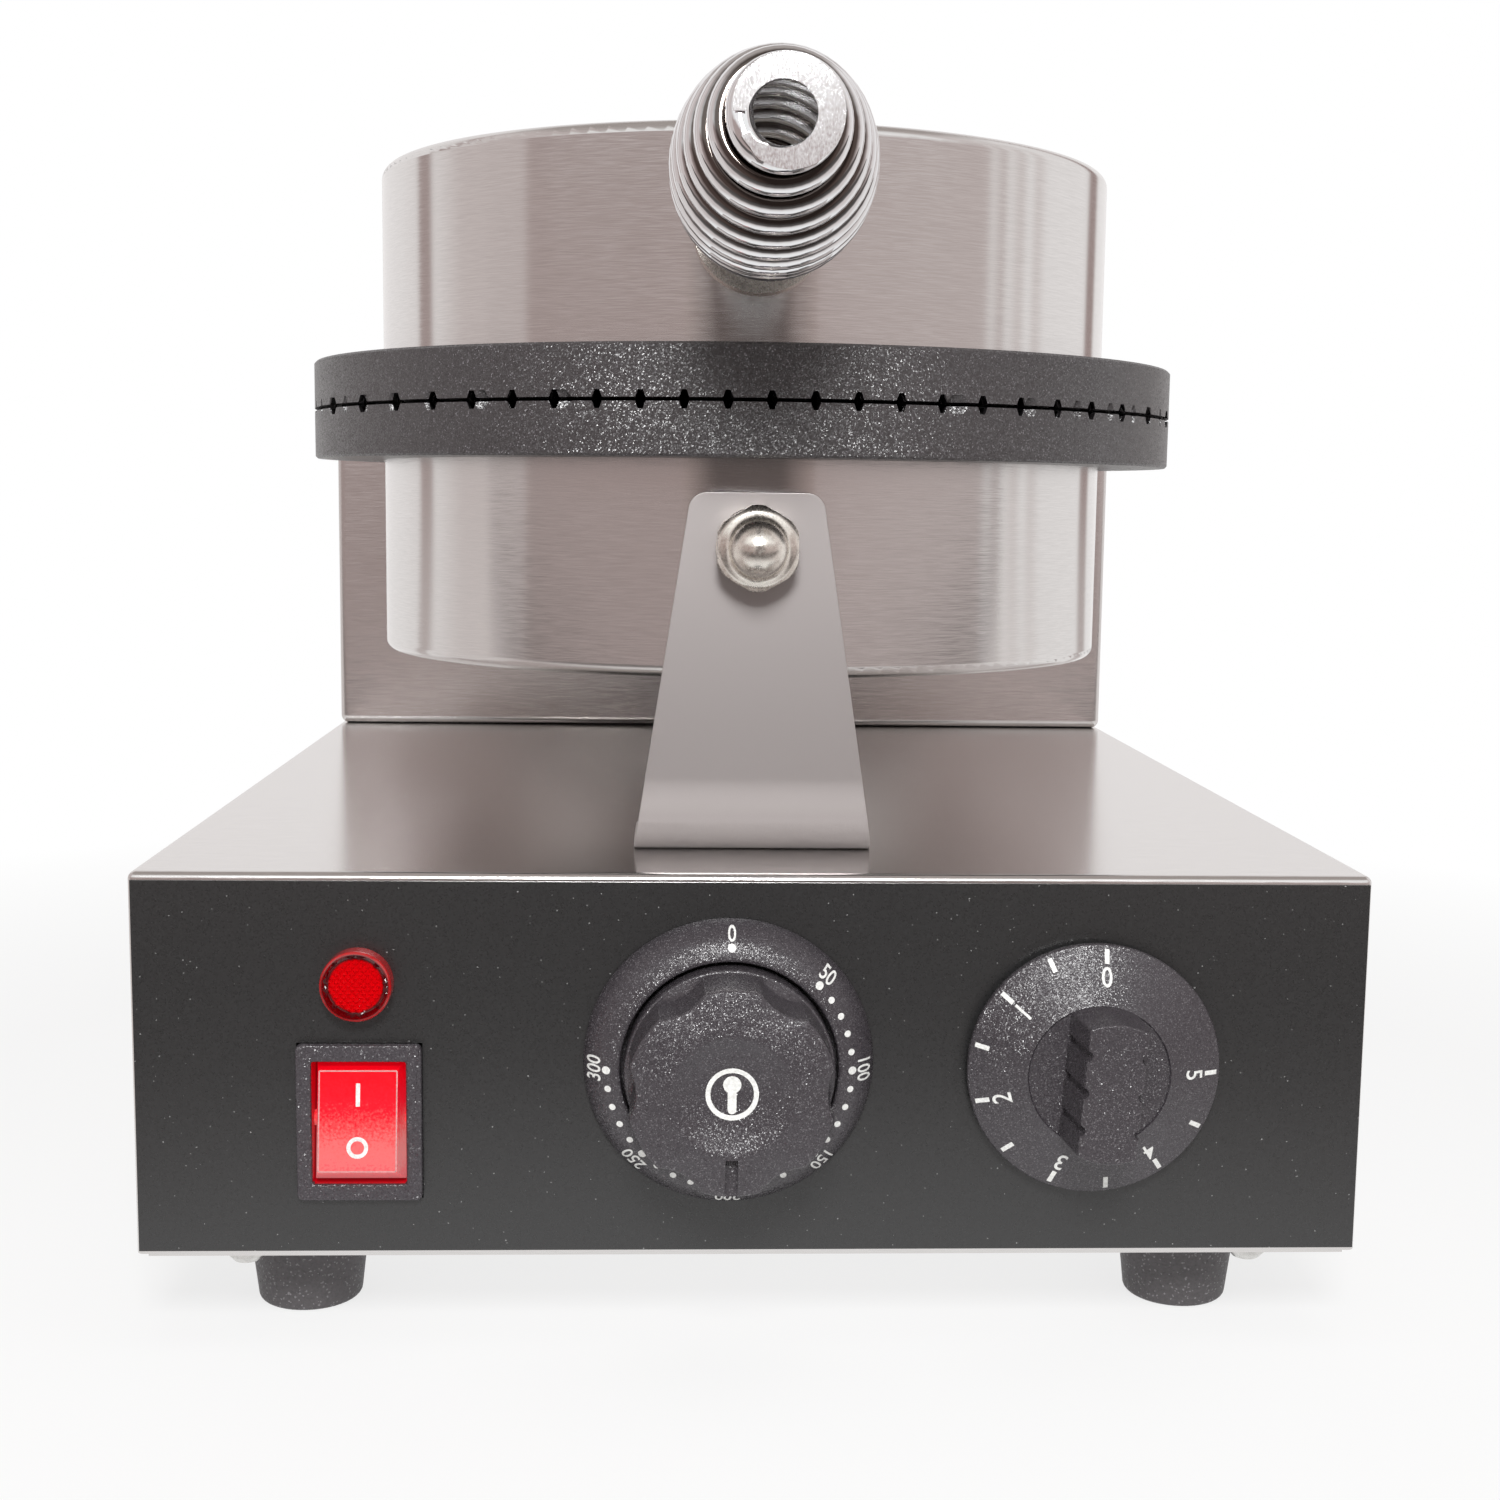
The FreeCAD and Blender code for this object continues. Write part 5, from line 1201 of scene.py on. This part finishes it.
def cut_cross(screw, way):
    """Cut a cross slot into a screw's head; the way is the axis that the head points along."""
    spots = [point.co / MM for point in screw.data.vertices]
    low = Vector(min(spot[axis] for spot in spots) for axis in range(3))
    high = Vector(max(spot[axis] for spot in spots) for axis in range(3))
    tip = (low + high) / 2
    tip[way] = high[way]
    for long_way in (axis for axis in range(3) if axis != way):
        size = Vector((SLOT_W, SLOT_W, SLOT_W))
        size[long_way] = SLOT_L
        size[way] = 2 * SLOT_DEEP
        carve(screw, block(size, tip))


def slotted_screws(node, body, way):
    """A CAD set of screws with a cross slot cut into each head."""
    only(merged_copy(node, "slotted_" + node))
    bpy.ops.mesh.separate(type="LOOSE")
    screws = list(bpy.context.selected_objects)
    screws.sort(key=lambda screw: tuple(round(value, 5) for value in screw.data.vertices[0].co))
    for screw in screws:
        cut_cross(screw, way)
    dress_as(joined(screws, "slotted_" + node), body, node)


handle_wire()
scale_ring()
thermostat_knob()
timer_knob()
dial_print()
knob_sign()
timer_print()
rocker()
lamp_lens()
strap()
switch_frame()
switch_well()
domed_nut()
strap_washer()
slotted_screws("upright_cover_screws", "stand", 1)
slotted_screws("upper_can_screws", "lid", 2)


# Stage: floor, world, card, lamps and camera

WHITE = (1, 1, 1)
NEAR_WHITE = (0.95, 0.95, 0.95)
WARM_WHITE = (0.95, 0.94, 0.93)
DARK_TABLE = (0.06, 0.048, 0.044)
DIM_CEILING = (0.42, 0.38, 0.36)
PLAIN_LIGHT = (0.34, 0.33, 0.32)
CARD_MIDDLE = (0.13, 0.105, 0.10)
CARD_SIDES = (0.41, 0.33, 0.31)

# Turn from the front in degrees, positive to the right, and how bright the studio wall is there
WALLS = [(-180, 0.9), (-135, 0.88), (-128, 0.85), (-123, 0.85), (-121, 0.40), (-115, 0.40), (-113, 0.85),
         (-98, 0.64), (-72, 0.62), (-70, 0.45), (-30, 0.42), (0, 0.40), (30, 0.52), (76, 0.60), (79, 0.85),
         (83, 0.60), (86, 0.90), (91, 0.66), (95, 0.95), (99, 0.70), (104, 0.9), (132, 0.9), (134, 0.36),
         (141, 0.36), (143, 0.9), (180, 0.9)]


def light_path(tree):
    """Whether the camera looks straight at a place, and whether a mirror or a lens shows it."""
    path = add(tree, "ShaderNodeLightPath")
    mirrored = maths(tree, "MAXIMUM", path.outputs["Is Glossy Ray"], path.outputs["Is Transmission Ray"])
    return path.outputs["Is Camera Ray"], mirrored


def wall_tone(tree, x, y):
    """The wall's brightness in a direction, warmer where it is darker."""
    share = spread(tree, turn_from_front(tree, x, y), 0.0, 1.0, -math.pi, math.pi)
    stops = [((turn + 180) / 360, (level, level ** 1.25, level ** 1.3)) for turn, level in WALLS]
    return ramp(tree, share, stops)


def floor_in_mirrors(tree, far):
    """What mirrors see of the floor: white close by, a dark table at the front, and the walls' tones."""
    here = axes(tree, place(tree))
    walls = wall_tone(tree, here["X"], here["Y"])
    around = blend(tree, 0.3, walls, WARM_WHITE)
    beyond = spread(tree, here["Y"], 1.0, 0.0, -0.85, -0.58)
    table = blend(tree, beyond, DARK_TABLE, walls)
    front = spread(tree, here["Y"], 1.0, 0.0, -0.36, -0.26)
    close = spread(tree, far, 1.0, 0.0, 0.22, 0.34)
    return blend(tree, close, blend(tree, front, around, table), NEAR_WHITE)


def floor():
    """A pale floor that is white to the camera, keeps the soft shadow, and darkens in mirrors."""
    deselect()
    bpy.ops.mesh.primitive_plane_add(size=12.0)
    ground = bpy.context.object
    ground.name = "floor"
    material, tree, shader = finish("pale_floor", {"Base Color": (0.88, 0.88, 0.88, 1), "Roughness": 0.9})
    far = vectors(tree, "LENGTH", place(tree))
    seen_by_camera, mirrored = light_path(tree)
    tone = blend(tree, seen_by_camera, floor_in_mirrors(tree, far), WHITE)
    bright = add(tree, "ShaderNodeEmission", {"Color": tone})
    white = maths(tree, "MULTIPLY", seen_by_camera, spread(tree, far, 0.76, 1.0, 0.25, 0.55))
    share = maths(tree, "ADD", white, maths(tree, "MULTIPLY", mirrored, 0.92))
    mixed = add(tree, "ShaderNodeMixShader", {0: share, 1: shader.outputs[0], 2: bright.outputs[0]})
    tree.links.new(mixed.outputs[0], tree.nodes["Material Output"].inputs[0])
    ground.data.materials.append(material)


def world():
    """Studio walls, brown and dim at the front, with a white soft box above them and a dim ceiling."""
    sky = bpy.data.worlds.new("studio")
    sky.use_nodes = True
    bpy.context.scene.world = sky
    tree = sky.node_tree
    way = axes(tree, add(tree, "ShaderNodeTexCoord").outputs["Generated"])
    front = spread(tree, way["Y"], 1.0, 0.0, -0.45, -0.20)
    above = spread(tree, way["Z"], 0.0, 1.0, 0.26, 0.36)
    soft_box = maths(tree, "MULTIPLY", front, above)
    walls = blend(tree, soft_box, wall_tone(tree, way["X"], way["Y"]), WHITE)
    room = blend(tree, spread(tree, way["Z"], 0.0, 1.0, 0.72, 0.86), walls, DIM_CEILING)
    seen_by_camera, mirrored = light_path(tree)
    light = blend(tree, mirrored, PLAIN_LIGHT, room)
    shade = blend(tree, seen_by_camera, light, WHITE)
    tree.links.new(shade, tree.nodes["Background"].inputs["Color"])


def screen_brown():
    """A dark brown card that fades to the wall's tone at its sides."""
    material, tree, shader = finish("screen_brown", {"Base Color": (0, 0, 0, 1), "Specular IOR Level": 0.0,
                                                     "Emission Strength": 1.0})
    side = maths(tree, "ABSOLUTE", axes(tree, place(tree))["X"])
    fade = spread(tree, side, 0.0, 1.0, 0.09, 0.175)
    feed(tree, shader, "Emission Color", tint(tree, fade, CARD_MIDDLE, CARD_SIDES, 0.0, 1.0))
    return material


def dark_screen():
    """A card before the object, where the camera stands, which only mirrors show."""
    deselect()
    bpy.ops.mesh.primitive_plane_add(size=1.0, location=(0, -0.56, 0.185),
                                     rotation=(math.radians(90), 0, 0))
    card = bpy.context.object
    card.name = "dark_screen"
    card.scale = (0.36, 0.27, 1)
    settle(card)
    card.data.materials.append(screen_brown())
    card.visible_camera = False
    card.visible_diffuse = False
    card.visible_shadow = False


def lamp(name, at, aim, size, power, mirrored):
    """A soft box that the camera doesn't see."""
    data = bpy.data.lights.new(name, "AREA")
    data.shape = "RECTANGLE"
    data.size, data.size_y = size
    data.energy = power
    lit = bpy.data.objects.new(name, data)
    bpy.context.scene.collection.objects.link(lit)
    lit.location = at
    lit.visible_camera = False
    lit.visible_glossy = mirrored
    lit.rotation_euler = (Vector(aim) - Vector(at)).to_track_quat("-Z", "Y").to_euler()


def camera():
    """The camera that took the photograph."""
    data = bpy.data.cameras.new("photo_camera")
    data.lens = CAMERA_LENS
    data.sensor_width = SENSOR_W
    view = bpy.data.objects.new("photo_camera", data)
    bpy.context.scene.collection.objects.link(view)
    turn = Matrix.Rotation(math.radians(CAMERA_YAW), 4, "Z")
    tilt = Matrix.Rotation(math.radians(90 + CAMERA_PITCH), 4, "X")
    roll = Matrix.Rotation(math.radians(CAMERA_ROLL), 4, "Z")
    view.matrix_world = Matrix.Translation(CAMERA_AT) @ turn @ tilt @ roll
    bpy.context.scene.camera = view


bpy.context.scene.view_settings.view_transform = "Standard"
floor()
world()
dark_screen()
lamp("key_box", at=(-0.02, -0.85, 0.62), aim=(0, -0.08, 0.12), size=(0.22, 0.22), power=6.5, mirrored=True)
lamp("top_box", at=(0.10, -0.25, 1.20), aim=(0, -0.02, 0.12), size=(0.9, 0.7), power=3.0, mirrored=False)
camera()
